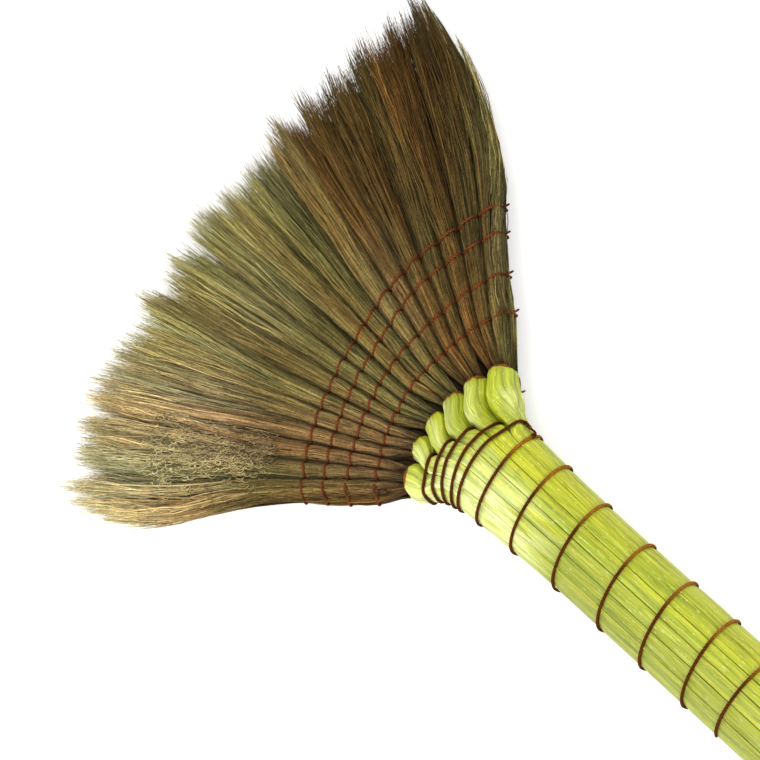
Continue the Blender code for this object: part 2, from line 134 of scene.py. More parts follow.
# waves: a sum of sines of random direction and phase over the given coordinates, about -1..1
def waves(seed, *coords, count=6):
    rng = np.random.default_rng(seed)
    total = 0
    for _ in range(count):
        turn = sum(c * f for c, f in zip(coords, rng.normal(0, 1, len(coords))))
        total = total + np.sin(turn * 2 * math.pi + rng.random() * 2 * math.pi)
    return total / math.sqrt(count) * 0.8


# bowed: R (1 + lean u + bow u^2)
def bowed(shape, u):
    return shape[0] * (1 + shape[1] * u + shape[2] * u * u)


def rowRadius(row, u):
    further = broom["rowRight"][row] * eased(u / broom["rowRightWhole"])
    return bowed((broom["rows"][row], *broom["rowShape"]), u) + further


def tieStation(u):
    return bowed(broom["tie"], u) - broom["poleDrop"]


# tip radius: bowed, less the rounded corners, which grow with u^8
def tipRadius(u):
    corner = np.where(u > 0, broom["corners"][1], broom["corners"][0]) * u**8
    return bowed(broom["tip"], u) * (1 - corner)


# point on the fan: r (sin a, cos a), a = u * spread less the curl, which is angle (1 + lean u) u^5
# past^1.3, where past is 0 up to where the curl starts and 1 at the tip
def rayPoint(u, r):
    near, far = broom["spreadRadii"]
    angle, lean, place = broom["curl"]
    start = mixed(rowRadius(0, u), tipRadius(u), place)
    past = np.clip((r - start) / (tipRadius(u) - start), 0, 1.3)
    turn = u * mixed(*broom["spreads"], eased((r - near) / (far - near)))
    turn = turn - angle * (1 + lean * u) * u**5 * past**1.3
    return np.stack([r * np.sin(turn), r * np.cos(turn) - broom["poleDrop"]], -1)


def gripShare(s):
    t = np.clip(-s / broom["gripTaper"], 0, 1)
    return t * (2 - t)


def halfWidth(s):
    return mixed(broom["neckHalf"][0], broom["gripHalf"][0], gripShare(s))


def halfThick(s):
    return mixed(broom["neckHalf"][1], broom["gripHalf"][1], gripShare(s))


# sway: to the left where the cord passes and to the right at the neck ties, both fading at the ends
def swayed(u, s):
    share, station, half = broom["notchSway"]
    left = share * (1 - eased(np.abs(s - station) / half)) * (1 - u * u)
    share, length, level = broom["tieSway"]
    beyond = np.maximum(np.abs(s - tieStation(u)) - level, 0)
    right = share * (1 - eased(beyond / length))
    return u - left + right * (1 - u) * (1 - ((1 - u) / 2) ** 4)


# lay point: straight down the handle, a cubic through the neck, then a ray of the fan
def layPoint(u, s):
    u, s = np.broadcast_arrays(np.asarray(u, float), np.asarray(s, float))
    straight = np.stack([u * halfWidth(s), s], -1)
    u = swayed(u, s)
    start = np.stack([u * broom["neckHalf"][0], 0 * s], -1)
    end = rayPoint(u, broom["bendRadius"] + 0 * u)
    flare = 2 * (broom["neckHalf"][0] - broom["gripHalf"][0]) / broom["gripTaper"]
    leave = unitRows(np.stack([u * flare, 1 + 0 * u], -1))
    turn = u * broom["spreads"][0]
    arrive = np.stack([np.sin(turn), np.cos(turn)], -1)
    reach = np.linalg.norm(end - start, axis=-1, keepdims=True)
    t = np.clip(s / bendLength, 0, 1)[..., None]
    bend = start * (1 - t) ** 2 * (1 + 2 * t) + end * t**2 * (3 - 2 * t)
    bend = bend + leave * reach * t * (1 - t) ** 2 - arrive * reach * t**2 * (1 - t)
    fan = rayPoint(u, s + broom["poleDrop"])
    s = s[..., None]
    return np.where(s <= 0, straight, np.where(s >= bendLength, fan, bend))


# fan point: the lay point at distance r from the pole
def fanPoint(u, r):
    return layPoint(u, r - broom["poleDrop"])


def acrossWidth(u, s):
    step = 0.01
    apart = layPoint(u + step, s) - layPoint(u - step, s)
    return np.linalg.norm(apart, axis=-1) / (2 * step)


def bundleMiddle(k):
    return (2 * k + 1) / broom["bundles"] - 1


def tieAt(k):
    return tieStation(bundleMiddle(k))


# across rib: -1 at a rib's left crease, 0 at its middle and 1 at its right crease
def acrossRib(u):
    return 2 * ((u + 1) / 2 * broom["ribs"] % 1) - 1


# x, y and z as one array, moved into the frame
def placed(xy, z):
    return np.concatenate([xy, np.broadcast_to(z, xy.shape[:-1])[..., None]], -1) + shift


# Meshes

def newPiece(name, verts, corners, sizes, material, uv=None, tint=None):
    mesh = bpy.data.meshes.new(name)
    mesh.vertices.add(len(verts))
    mesh.vertices.foreach_set("co", np.ascontiguousarray(verts, dtype=np.float32).ravel())
    mesh.loops.add(len(corners))
    mesh.loops.foreach_set("vertex_index", np.ascontiguousarray(corners, dtype=np.int32))
    mesh.polygons.add(len(sizes))
    starts = np.concatenate([[0], np.cumsum(sizes)[:-1]]).astype(np.int32)
    mesh.polygons.foreach_set("loop_start", starts)
    mesh.update(calc_edges=True)
    if uv is not None:
        layer = mesh.uv_layers.new(name="lay")
        layer.data.foreach_set("uv", np.ascontiguousarray(uv, dtype=np.float32).ravel())
    if tint is not None:
        layer = mesh.color_attributes.new("tint", "FLOAT_COLOR", "POINT")
        rgba = tint if tint.shape[1] == 4 else np.concatenate([tint, np.ones((len(tint), 1))], -1)
        layer.data.foreach_set("color", rgba.astype(np.float32).ravel())
    mesh.validate()
    mesh.shade_smooth()
    mesh.materials.append(material)
    piece = bpy.data.objects.new(name, mesh)
    bpy.context.scene.collection.objects.link(piece)
    return piece


# piece from the points of its rings, what tubeFaces gives and a tint for each point
def tubePiece(name, points, faces, material, tint):
    corners, sizes, uv = faces
    tint = tint.reshape(-1, tint.shape[-1])
    return newPiece(name, points.reshape(-1, 3), corners, sizes, material, uv, tint)


# faces of tubes: tube a's ring i, corner j joins ring i + 1 and corner j + 1; capped ones have closed
# ends. The uv is looked up by ring and corner in a table with one more column than corners.
def tubeFaces(tubes, rings, around, inward=False, capped=True, table=None):
    a, i, j = np.meshgrid(np.arange(tubes), np.arange(rings - 1), np.arange(around), indexing="ij")
    base, nextJ = a * rings * around, (j + 1) % around
    quads = [base + i * around + j, base + i * around + nextJ]
    quads += [base + (i + 1) * around + nextJ, base + (i + 1) * around + j]
    places = [(i, j), (i, j + 1), (i + 1, j + 1), (i + 1, j)]
    if inward:
        quads, places = quads[::-1], places[::-1]
    corners = np.stack(quads, -1).reshape(-1)
    uv = None
    if table is not None:
        uv = np.stack([table[row, column] for row, column in places], -2).reshape(-1, 2)
    sizes = np.full(len(corners) // 4, 4)
    if capped:
        first = (np.arange(tubes)[:, None] * rings * around) + np.arange(around)
        last = first + (rings - 1) * around
        ends = [first[:, ::-1], last] if not inward else [first, last[:, ::-1]]
        corners = np.concatenate([corners, ends[0].reshape(-1), ends[1].reshape(-1)])
        sizes = np.concatenate([sizes, np.full(2 * tubes, around)])
        if uv is not None:
            uv = np.concatenate([uv, np.zeros((2 * tubes * around, 2))])
    return corners, sizes, uv


# path frames: T from the neighbours, N the outward direction less its share along T, B = T x N
def pathFrames(points, outward):
    tangent = unitRows(np.gradient(points, axis=-2))
    normal = outward - tangent * np.sum(outward * tangent, -1, keepdims=True)
    normal = unitRows(normal)
    return tangent, normal, np.cross(tangent, normal)


# even path: a Catmull-Rom curve through the points, walked in equal steps
def evenPath(points, step):
    p = np.asarray(points, float)
    p = np.concatenate([[2 * p[0] - p[1]], p, [2 * p[-1] - p[-2]]])
    t = np.linspace(0, 1, 16, endpoint=False)[None, :, None]
    a, b, c, d = (p[i : len(p) - 3 + i, None, :] for i in range(4))
    curve = 2 * b + (c - a) * t + (2 * a - 5 * b + 4 * c - d) * t**2 + (3 * b - a - 3 * c + d) * t**3
    curve = np.concatenate([(curve / 2).reshape(-1, p.shape[1]), points[-1:]])
    way = wayAlong(curve[:, :3])
    walk = np.linspace(0, way[-1], max(int(way[-1] / step), 4))
    return np.stack([np.interp(walk, way, curve[:, i]) for i in range(p.shape[1])], -1)


# Materials

def newMaterial(name, roughness, **sockets):
    material = bpy.data.materials.new(name)
    material.use_nodes = True
    shader = material.node_tree.nodes["Principled BSDF"]
    shader.inputs["Roughness"].default_value = roughness
    for socket, value in sockets.items():
        shader.inputs[socket.replace("_", " ")].default_value = value
    return material, material.node_tree, shader


def addNode(tree, kind, inputs=(), **values):
    node = tree.nodes.new("ShaderNode" + kind)
    for key, value in values.items():
        setattr(node, key, value)
    for socket, value in dict(inputs).items():
        if isinstance(value, bpy.types.NodeSocket):
            tree.links.new(value, node.inputs[socket])
        else:
            node.inputs[socket].default_value = value
    return node


def stretchedNoise(tree, source, scale, detail=4.0, roughness=0.6):
    mapping = addNode(tree, "Mapping", {"Vector": source, "Scale": scale})
    return addNode(
        tree,
        "TexNoise",
        {"Vector": mapping.outputs[0], "Scale": 1.0, "Detail": detail, "Roughness": roughness},
    ).outputs["Fac"]


def colourRamp(tree, fac, stops):
    ramp = addNode(tree, "ValToRGB", {"Fac": fac})
    elements = ramp.color_ramp.elements
    while len(elements) < len(stops):
        elements.new(0.5)
    for element, (place, colour) in zip(elements, stops):
        element.position = place
        element.color = (*colour, 1)
    return ramp.outputs["Color"]


def mixColour(tree, blend, fac, a, b):
    node = addNode(tree, "Mix", data_type="RGBA", blend_type=blend)
    for socket, value in ((node.inputs[0], fac), (node.inputs[6], a), (node.inputs[7], b)):
        if isinstance(value, bpy.types.NodeSocket):
            tree.links.new(value, socket)
        else:
            socket.default_value = (*value, 1) if isinstance(value, tuple) else value
    return node.outputs[2]


def addBump(tree, shader, height, strength, distance):
    bump = addNode(tree, "Bump", {"Height": height, "Strength": strength, "Distance": distance})
    tree.links.new(bump.outputs[0], shader.inputs["Normal"])


# Noises by scale across and along, detail and roughness; colours by their place in the noise
wrap = {
    "fibres": ((15, 0.42, 1), 4, 0.55),
    "strips": ((4.2, 0.13, 1), 2, 0.5),
    "folds": ((2.9, 0.24, 1), 3, 0.45),
    # the noise for the painted glints
    "glintNoise": ((13, 3.4, 1), 3, 0.6),
    "lime": (
        (0.28, (0.26, 0.28, 0.010)),
        (0.44, (0.38, 0.42, 0.016)),
        (0.58, (0.47, 0.52, 0.026)),
        (0.76, (0.62, 0.66, 0.09)),
    ),
    # the paler lime of the painted sheen, mixed in by the tint's fourth value
    "pale": ((0.30, (0.50, 0.55, 0.17)), (0.70, (0.84, 0.88, 0.46))),
    "warmth": ((0.36, (0.72, 0.80, 0.66)), (0.5, (1.0, 1.0, 1.0)), (0.64, (1.14, 1.08, 0.80))),
    # thin dark fold lines, painted shade along the folds, and how strongly they darken
    "foldShade": ((0.470, (1, 1, 1)), (0.490, (0.42, 0.42, 0.20)), (0.512, (1, 1, 1))),
    "foldShadeShare": 0.42,
    # painted glints: pale specks where that noise is high, their share and their colour
    "glintFrom": 0.64,
    "glintShare": 0.5,
    "glint": (0.84, 0.88, 0.50),
    "bump": (0.5, 0.7 * mm),  # strength, distance
}


# Green wrap. Its uv is in centimetres round and along. Long soft fibres from dark lime to light,
# broad strips of warmer and paler lime, a few thin dark fold lines of painted shade where a slow
# noise crosses its middle, and pale specks that are painted glints; all times the tint, and paler
# by the tint's fourth value, which is painted sheen.
def makeWrapMaterial():
    material, tree, shader = newMaterial(
        "greenWrap", 0.45, Specular_IOR_Level=0.35, Coat_Weight=0.08, Coat_Roughness=0.3
    )
    uv = addNode(tree, "UVMap", uv_map="lay").outputs[0]
    fibres, strips, folds, glintNoise = (
        stretchedNoise(tree, uv, *wrap[name]) for name in ("fibres", "strips", "folds", "glintNoise")
    )
    tint = addNode(tree, "Attribute", attribute_name="tint")
    lime, pale = colourRamp(tree, fibres, wrap["lime"]), colourRamp(tree, fibres, wrap["pale"])
    # painted sheen: paler lime by the tint's fourth value
    colour = mixColour(tree, "MIX", tint.outputs["Alpha"], lime, pale)
    colour = mixColour(tree, "MULTIPLY", 1.0, colour, colourRamp(tree, strips, wrap["warmth"]))
    # painted shade along thin fold lines
    line = colourRamp(tree, folds, wrap["foldShade"])
    colour = mixColour(tree, "MULTIPLY", wrap["foldShadeShare"], colour, line)
    # painted glints: pale specks where the glint noise is high
    glint = addNode(tree, "Math", {0: glintNoise, 1: wrap["glintFrom"]}, operation="GREATER_THAN").outputs[0]
    glint = addNode(tree, "Math", {0: glint, 1: wrap["glintShare"]}, operation="MULTIPLY").outputs[0]
    colour = mixColour(tree, "MIX", glint, colour, wrap["glint"])
    colour = mixColour(tree, "MULTIPLY", 1.0, colour, tint.outputs["Color"])
    tree.links.new(colour, shader.inputs["Base Color"])
    relief = addNode(tree, "Math", {0: fibres, 1: line}, operation="MULTIPLY").outputs[0]
    addBump(tree, shader, relief, *wrap["bump"])
    return material


grassSpecks = {"scale": 900.0, "shades": ((0.3, (0.72, 0.70, 0.66)), (0.7, (1.2, 1.18, 1.1)))}


# Grass: the strand's own tint, broken by fine specks
def makeGrassMaterial():
    material, tree, shader = newMaterial("broomGrass", 0.75, Specular_IOR_Level=0.12)
    tint = addNode(tree, "Attribute", attribute_name="tint").outputs["Color"]
    place = addNode(tree, "TexCoord").outputs["Object"]
    noise = {"Vector": place, "Scale": grassSpecks["scale"], "Detail": 3.0}
    specks = addNode(tree, "TexNoise", noise).outputs["Fac"]
    broken = colourRamp(tree, specks, grassSpecks["shades"])
    colour = mixColour(tree, "MULTIPLY", 1.0, tint, broken)
    tree.links.new(colour, shader.inputs["Base Color"])
    return material


cordLooks = {  # darkest and lightest red-brown, roughness
    "handleCord": ((0.048, 0.011, 0.002), (0.125, 0.032, 0.005), 0.75),
    "rowTwine": ((0.075, 0.018, 0.006), (0.175, 0.048, 0.015), 0.8),
    "tieThread": ((0.13, 0.036, 0.008), (0.34, 0.125, 0.032), 0.8),
}


# Cord: red-brown plies, with painted shade between them (the tint)
def makeCordMaterial(name):
    dark, light, roughness = cordLooks[name]
    material, tree, shader = newMaterial(name, roughness, Specular_IOR_Level=0.03)
    place = addNode(tree, "TexCoord").outputs["Object"]
    noise = addNode(tree, "TexNoise", {"Vector": place, "Scale": 1400.0, "Detail": 4.0}).outputs["Fac"]
    colour = colourRamp(tree, noise, [(0.3, dark), (0.7, light)])
    tint = addNode(tree, "Attribute", attribute_name="tint").outputs["Color"]
    colour = mixColour(tree, "MULTIPLY", 1.0, colour, tint)
    tree.links.new(colour, shader.inputs["Base Color"])
    addBump(tree, shader, noise, 0.4, 0.0002)
    return material


wrapMaterial, grassMaterial = makeWrapMaterial(), makeGrassMaterial()
cordMaterial, twineMaterial, threadMaterial = (makeCordMaterial(name) for name in cordLooks)
print("materials made")

# Sleeves

sleeve = {
    "gap": 0.02 * mm,
    "lobeHalf": 9.3 * mm,  # half thickness
    "tieHalf": (4.0 * mm, 6.2 * mm),  # half width, half thickness
    "shoulder": 8.5 * mm,  # length over which a lobe closes round its tie
    "rim": 0.5 * mm,
    "roll": 1.2 * mm,
    "mouth": ((0.35 * mm, 0.02), (0.75 * mm, 1.0)),  # the rolled-in rings: depth, share of the roll
    "powers": (26.0, 2.3),  # of the superellipse, in the handle and in a lobe
    "notch": 0.8 * mm,
    "cord": 1.5 * mm,
    "partFrom": 0.5,  # share of the way to the cord that holds the bundle
    "partBeyond": 2 * mm,  # from that cord to where the bundle is by itself
    "lobeFrom": 0.6,  # share of the way to that cord
    "lobeWhole": 0.8,  # share of the way on to the tie
    "lean": 1.6 * mm,
    "leanOver": 10 * mm,
    # folds that stand out on the first and the last bundle's outer side: size, station, half length
    "outerFolds": {-1: (1.7 * mm, 33 * mm, 14 * mm), 1: (1.6 * mm, 29 * mm, 9 * mm)},
    "pinch": (0.55 * mm, 1.4 * mm),  # depth, half length
    "around": 132,
    "rings": 168,
    "neckFrom": -10 * mm,  # the rings are closer together from here on
    "handleRings": 0.42,  # share of the rings that lie before it
    "handleStation": -40 * mm,  # where the section stands for the whole handle's
    "lobeStation": 10 * mm,  # before the tie, where it stands for the lobe's
    "wallFrom": 0.715,  # cosine of the angle at which a shared wall ends
    "wallShare": 0.08,
    "skin": (0.66, 0.05),  # cosine where a shared wall stops being skin, and over how much
    "wallOut": 0.03 * mm,
    "stripWidth": 2.1 * mm,
    "stripDepth": 0.20 * mm,
    "creaseWidth": 0.09,  # share of a strip's
    "twist": 1.4,  # strips
    "swells": (0.20 * mm, 0.08 * mm, 0.16 * mm),  # of a lobe, everywhere, and of a lobe's stripes
    "puff": 0.35 * mm,
    "slant": 0.04,  # of the fibres on a lobe
    "byAngle": 0.8,  # how far the fibres of a lobe spread by angle instead of by distance
}


def joinsAt(k):
    return neckTurns[max(k - 1, 0)][1]


# parted: 0 in the handle, 1 from where the bundle has left the others
def parted(k, s):
    start = sleeve["partFrom"] * joinsAt(k)
    return eased((s - start) / (joinsAt(k) - start + sleeve["partBeyond"]))


def lobeStart(k):
    return sleeve["lobeFrom"] * joinsAt(k)


# lobe share: 0 up to where the lobe starts, 1 near its tie
def lobeShare(k, s):
    start = lobeStart(k)
    return eased((s - start) / (sleeve["lobeWhole"] * (tieAt(k) - start)))


# shoulder: (1 - t^2.4)^0.5 closes the lobe round its tie
def shoulder(k, s):
    t = np.clip((s - tieAt(k) + sleeve["shoulder"]) / sleeve["shoulder"], 0, 1)
    return (1 - t**2.4) ** 0.5


def sideWidth(k, s, side):
    full = acrossWidth(bundleMiddle(k), s) / broom["bundles"] - sleeve["gap"] / 2
    for turn, atSide in ((k - 1, 1), (k - 2, -1)):
        if atSide == side and 0 <= turn < len(neckTurns):
            near = np.abs(s - neckTurns[turn][1]) / (2 * sleeve["cord"])
            full = full - sleeve["notch"] * (1 - eased(near))
    if k == (0 if side < 0 else broom["bundles"] - 1):
        size, middle, half = sleeve["outerFolds"][side]
        full = full + size * (1 - eased(np.abs(s - middle) / half))
    return mixed(sleeve["tieHalf"][0], full, shoulder(k, s))


# unit section: a superellipse, nearly square in the handle
def unitSection(k, s, phi):
    return superellipse(phi, mixed(*sleeve["powers"], parted(k, s)))


# section: in the handle a slice of its oval, whose outer side is the oval's arc on the first and
# the last bundle; in the neck a lobe, which leans to the left with v over its left neighbour
def sectionPoints(k, s, phi):
    s, phi = np.broadcast_arrays(np.asarray(s, float), np.asarray(phi, float))
    c, v = unitSection(k, s, phi)
    middle, last = bundleMiddle(k), broom["bundles"] - 1
    across = acrossWidth(middle, s)
    sides = [sideWidth(k, s, side) / across for side in (-1, 1)]
    u = middle + c * np.where(c > 0, sides[1], sides[0])
    z = v * halfThick(s) * np.sqrt(np.maximum(1 - u * u, 0))
    if k in (0, last):
        side = -1 if k == 0 else 1
        inner = np.abs(middle) - sides[0 if side > 0 else 1]
        tall = np.sqrt(1 - inner**2)
        edge = np.sqrt(np.maximum(1 - (v * tall) ** 2, 0))
        handleU = side * mixed(inner, edge, (side * c + 1) / 2)
        handleZ = v * tall * halfThick(s)
    else:
        handleU, handleZ = u, z
    lean = sleeve["lean"] * eased((s - lobeStart(k)) / sleeve["leanOver"]) * shoulder(k, s)
    lean = lean * v * (1 - c * c)
    lobe = mixed(sleeve["tieHalf"][1], sleeve["lobeHalf"], shoulder(k, s))
    share = parted(k, s)
    u = mixed(handleU, u - lean / across, share)
    return placed(layPoint(u, s), axisZ + mixed(handleZ, v * lobe, share))


# angles for a sleeve's corners: close together where the skin shows, wide apart on the walls that
# bundles share in the handle
def skinAngles(k, around):
    fine = np.linspace(0, 2 * math.pi, 6001)
    weights = []
    for s in (sleeve["handleStation"], tieAt(k) - sleeve["lobeStation"]):
        points = sectionPoints(k, s, fine)
        step = np.linalg.norm(np.diff(points, axis=0), axis=1)
        wall = np.abs(np.cos(fine[:-1])) > sleeve["wallFrom"]
        if k == 0:
            wall &= np.cos(fine[:-1]) > 0
        if k == broom["bundles"] - 1:
            wall &= np.cos(fine[:-1]) < 0
        if s < 0:
            step = np.where(wall, sleeve["wallShare"], 1) * step
        weights.append(step / step.sum())
    way = np.concatenate([[0], np.cumsum(sum(weights) / 2)])
    return np.interp(np.linspace(0, 1, around, endpoint=False), way, fine)


gripTurns = {
    "stations": (2.4 * mm, -16.0 * mm, -38.8 * mm, -63.0 * mm, -85.4 * mm, -107.6 * mm, -129.6 * mm),
    "slant": 6 * mm,
    "lastSlant": 1.7 * mm,
}


# the handle cord's turns: bundles held, station at the right, station at the left
def turnTable():
    turns = list(neckTurns)
    last = gripTurns["stations"][-1]
    for right in gripTurns["stations"]:
        slant = gripTurns["lastSlant" if right == last else "slant"]
        turns.append((broom["bundles"], right, right - slant))
    return turns


# how deep the cord presses the sleeve in: a bell round the station where each turn crosses line u,
# on the top (1) or the under side (0)
def pressed(k, u, s, top):
    size, half = sleeve["pinch"]
    depth = np.zeros(np.broadcast(u, s).shape)
    turns = turnTable()
    for turn, following in zip(turns, turns[1:] + [None]):
        held, right, left = turn
        crossings = [(held, right, top)]
        if following is not None:
            crossings.append((following[0], following[1], 1 - top))
        for bundles, start, share in crossings:
            if k < bundles:
                reach = 2 * bundles / broom["bundles"]
                at = mixed(left, start, np.clip((u + 1) / reach, 0, 1))
                depth = np.maximum(depth, share * bell((s - at) / half))
    return depth * size


# stations of the rings: wide apart in the handle, closer together from the neck on
def sleeveStations(k):
    share, part = np.linspace(0, 1, sleeve["rings"]), sleeve["handleRings"]
    handle = mixed(-broom["handleLength"], sleeve["neckFrom"], share / part)
    neck = mixed(sleeve["neckFrom"], tieAt(k) + sleeve["rim"], (share - part) / (1 - part))
    return np.where(share < part, handle, neck)[:, None]


# distance round the handle's section at each angle, and then all the way round
def handleWay(k, phi):
    section = sectionPoints(k, sleeve["handleStation"], phi)
    way = wayAlong(section)
    return np.append(way, way[-1] + np.linalg.norm(section[0] - section[-1]))


# strips: a whole number of them goes round the handle, by distance; they drift and, on the lobe,
# twist, and each tilts from one edge to the other. It gives each corner's strip, how deep it lies in
# a crease, the lobe's slow stripes, and how far it stands out.
def foldedStrips(k, s, phi, way, inLobe):
    lane = way[:-1] / way[-1] * round(way[-1] / sleeve["stripWidth"])
    lane = lane + 0.5 * waves(31 + k, np.cos(phi) * 1.1, s / (80 * mm)) + sleeve["twist"] * inLobe
    strip = np.floor(lane)
    within = lane - strip
    strength = np.clip(1.25 * waves(57 + k, strip * 0.731, s / (45 * mm)) - 0.18, 0, 1.2)
    crease = bell(within / sleeve["creaseWidth"]) + bell((1 - within) / sleeve["creaseWidth"])
    crease = crease * strength
    tilt = (within - 0.5) * np.clip(0.35 + 0.8 * waves(58 + k, strip * 0.537, s / (50 * mm)), 0, 1.1)
    stripe = waves(61 + k, phi * 1.25 + 0.44 * inLobe * np.sin(phi), s / (70 * mm)) * inLobe
    ofLobe, everywhere, ofStripe = sleeve["swells"]
    swell = waves(91 + k, phi * 0.9, s / (30 * mm)) * parted(k, s) * ofLobe
    swell = swell + waves(92 + k, phi * 1.3, s / (50 * mm)) * everywhere + stripe * ofStripe
    return strip, crease, stripe, sleeve["stripDepth"] * (tilt - 0.9 * crease) * (1 + 0.6 * inLobe) + swell


# shared walls: how much of the skin shows, 0 on a wall that two bundles share in the handle, and how
# much painted shade darkens the seam there along its length
def sharedWalls(k, s, phi):
    shown, seamShade = np.ones(np.broadcast(s, phi).shape), 0
    for side in (-1, 1):
        if k != (0 if side < 0 else broom["bundles"] - 1):
            wall = rising(side * np.cos(phi), sleeve["skin"]) * (1 - parted(k, s))
            shown = shown * (1 - wall)
            # painted shade along the seam, broken along its length
            darkness = 0.22 + 0.9 * waves(70 + 2 * k + side, s / (45 * mm) + 0 * phi)
            seamShade = seamShade + wall * np.clip(darkness, 0, 1)
    return shown, seamShade


# How much the wrap's tone changes: darker with painted shade in creases, under the cord, at the mouth
# and in seams, darker down the grip, both ways from strip to strip, and lighter and darker with the
# painted light and shade of a lobe's stripes; then the spans of stations over which things set in,
# those of mouth, rim and lastLobe counted from the tie
wrapTones = {
    "crease": 0.40,
    "press": 0.18,
    "strips": 0.13,
    "mouth": 0.25,
    "stripe": 0.20,
    "seamShade": 0.45,
    "grip": 0.38,
    "mouthSpan": (-1.0 * mm, 1.6 * mm),
    "gripSpan": (18 * mm, 32 * mm),  # down from the neck
    "yellowSpan": (-22 * mm, 16 * mm),  # down from the neck
    "paleSpan": (-46 * mm, 30 * mm),
    "rimSpan": (-7 * mm, 7 * mm),
    "lastLobeSpan": (8 * mm, 6 * mm),  # down from the tie
}


# tint of the wrap: a colour, with painted shade and painted light in its tone, and how pale it is as the
# fourth value, which is painted sheen
def wrapTint(k, s, u, c, inLobe, strip, crease, stripe, seamShade, press):
    tones, fromTie = wrapTones, s - tieAt(k)
    # painted shade in creases, under the cord, at the mouth and in seams; painted light and shade along a
    # lobe's stripes
    tone = 1 - tones["crease"] * np.clip(crease, 0, 1) - tones["press"] * press / sleeve["pinch"][0]
    tone = tone * (1 + tones["strips"] * waves(15 + k, strip * 0.57, s / (120 * mm)))
    tone = tone * (1 - tones["mouth"] * rising(fromTie, tones["mouthSpan"]))
    tone = tone * (1 + tones["stripe"] * stripe) * (1 - tones["seamShade"] * seamShade)
    tone = tone * (1 - tones["grip"] * np.clip(0.45 - u, 0, 1) * rising(-s, tones["gripSpan"]))
    # yellower on the right of the grip; paler with painted sheen on its left near the neck, on each lobe's
    # left and on the last lobe's right flap
    yellow = np.clip((u - 0.20) / 0.5, 0, 1) * rising(-s, tones["yellowSpan"])
    grip = np.clip((-u + 0.30) / 0.9, 0, 1) * mixed(0.12, 1.0, rising(s, tones["paleSpan"]))
    lobe = 0.42 + 0.06 * (3 - k) - 0.62 * c - 0.25 * rising(fromTie, tones["rimSpan"])
    lobe = np.clip(lobe, 0, 1)
    if k == broom["bundles"] - 1:
        lobe = np.clip(0.25 + 0.9 * (c - 0.45), 0, 0.85) * rising(-fromTie, tones["lastLobeSpan"])
    pale = mixed(grip, lobe, inLobe)
    pale = pale * np.clip(0.85 + 0.65 * waves(17 + k, strip * 0.41, s / (30 * mm)), 0, 1.5)
    red, green, blue = 1 + 0.10 * yellow, 1 + 0.06 * yellow, 1 - 0.25 * yellow
    return np.stack([tone * red, tone * green, tone**1.3 * blue, np.clip(pale, 0, 0.95)], -1)


# both mouths are rolled in, so that the wrap shows its thickness
def rolledMouths(points):
    centre = points.mean(1, keepdims=True)
    rolled = []
    for ring, into in ((0, 1), (-1, -1)):
        back = np.array([0, into * sleeve["roll"], 0])
        toCentre = unitRows(centre[ring] - points[ring])
        rolled += [points[ring] + toCentre * depth + back * share for depth, share in sleeve["mouth"]]
    return np.concatenate([[rolled[1]], [rolled[0]], points, [rolled[2]], [rolled[3]]])


# sleeve skin: the sections, folded into lengthwise strips, puffed on the lobe and pressed in by the cord
def makeSleeve(k):
    rings, around = sleeve["rings"], sleeve["around"]
    s, phi = sleeveStations(k), skinAngles(k, around)[None, :]
    points = sectionPoints(k, s, phi)
    c = unitSection(k, s, phi)[0]
    u = bundleMiddle(k) + c / broom["bundles"]
    ahead = np.roll(points, -1, 1) - np.roll(points, 1, 1)
    normal = unitRows(np.cross(np.gradient(points, axis=0), ahead))
    inLobe, way = lobeShare(k, s), handleWay(k, phi[0])
    strip, crease, stripe, relief = foldedStrips(k, s, phi, way, inLobe)
    shown, seamShade = sharedWalls(k, s, phi)
    press = pressed(k, u, s, (np.sin(phi) > 0).astype(float))
    relief = (relief - press) * shown + sleeve["puff"] * inLobe + sleeve["wallOut"] * (1 - shown)
    points = rolledMouths(points + normal * relief[..., None])
    tint = wrapTint(k, s, u, c, inLobe, strip, crease, stripe, seamShade, press)
    # the rolled-in rings at both mouths are darker: painted shade inside the roll
    rolledShade = np.array([0.8, 0.8, 0.8, 1])
    tint = np.concatenate([tint[:1] * rolledShade, tint[:1], tint, tint[-1:], tint[-1:] * rolledShade**2])
    # the uv goes round by distance in the handle and mostly by angle on the lobe, where it slants
    apart = np.concatenate([[[0], [0]], parted(k, s), [[1], [1]]])
    inLobe = np.concatenate([[[0], [0]], inLobe, [[1], [1]]])
    s = np.concatenate([s[:1] - 1 * mm, s[:1], s, s[-1:], s[-1:] + 1 * mm])
    turned = np.append(phi, 2 * math.pi) / 2 / math.pi * way[-1]
    across = mixed(way, turned, sleeve["byAngle"] * apart)
    table = np.stack([across + 0.3 * k, np.broadcast_to(s, across.shape) + 0.03 * k], -1) * 100
    table[..., 0] -= table[..., 1] * sleeve["slant"] * inLobe
    faces = tubeFaces(1, rings + 4, around, inward=True, capped=False, table=table)
    piece = tubePiece(f"greenSleeve{k + 1}", points, faces, wrapMaterial, np.clip(tint, 0, 2))
    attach(piece, "root")
    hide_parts(f"sleeve_{k + 1}")


for k in range(broom["bundles"]):
    makeSleeve(k)
print("sleeves made")

# Cut stalks at the butt

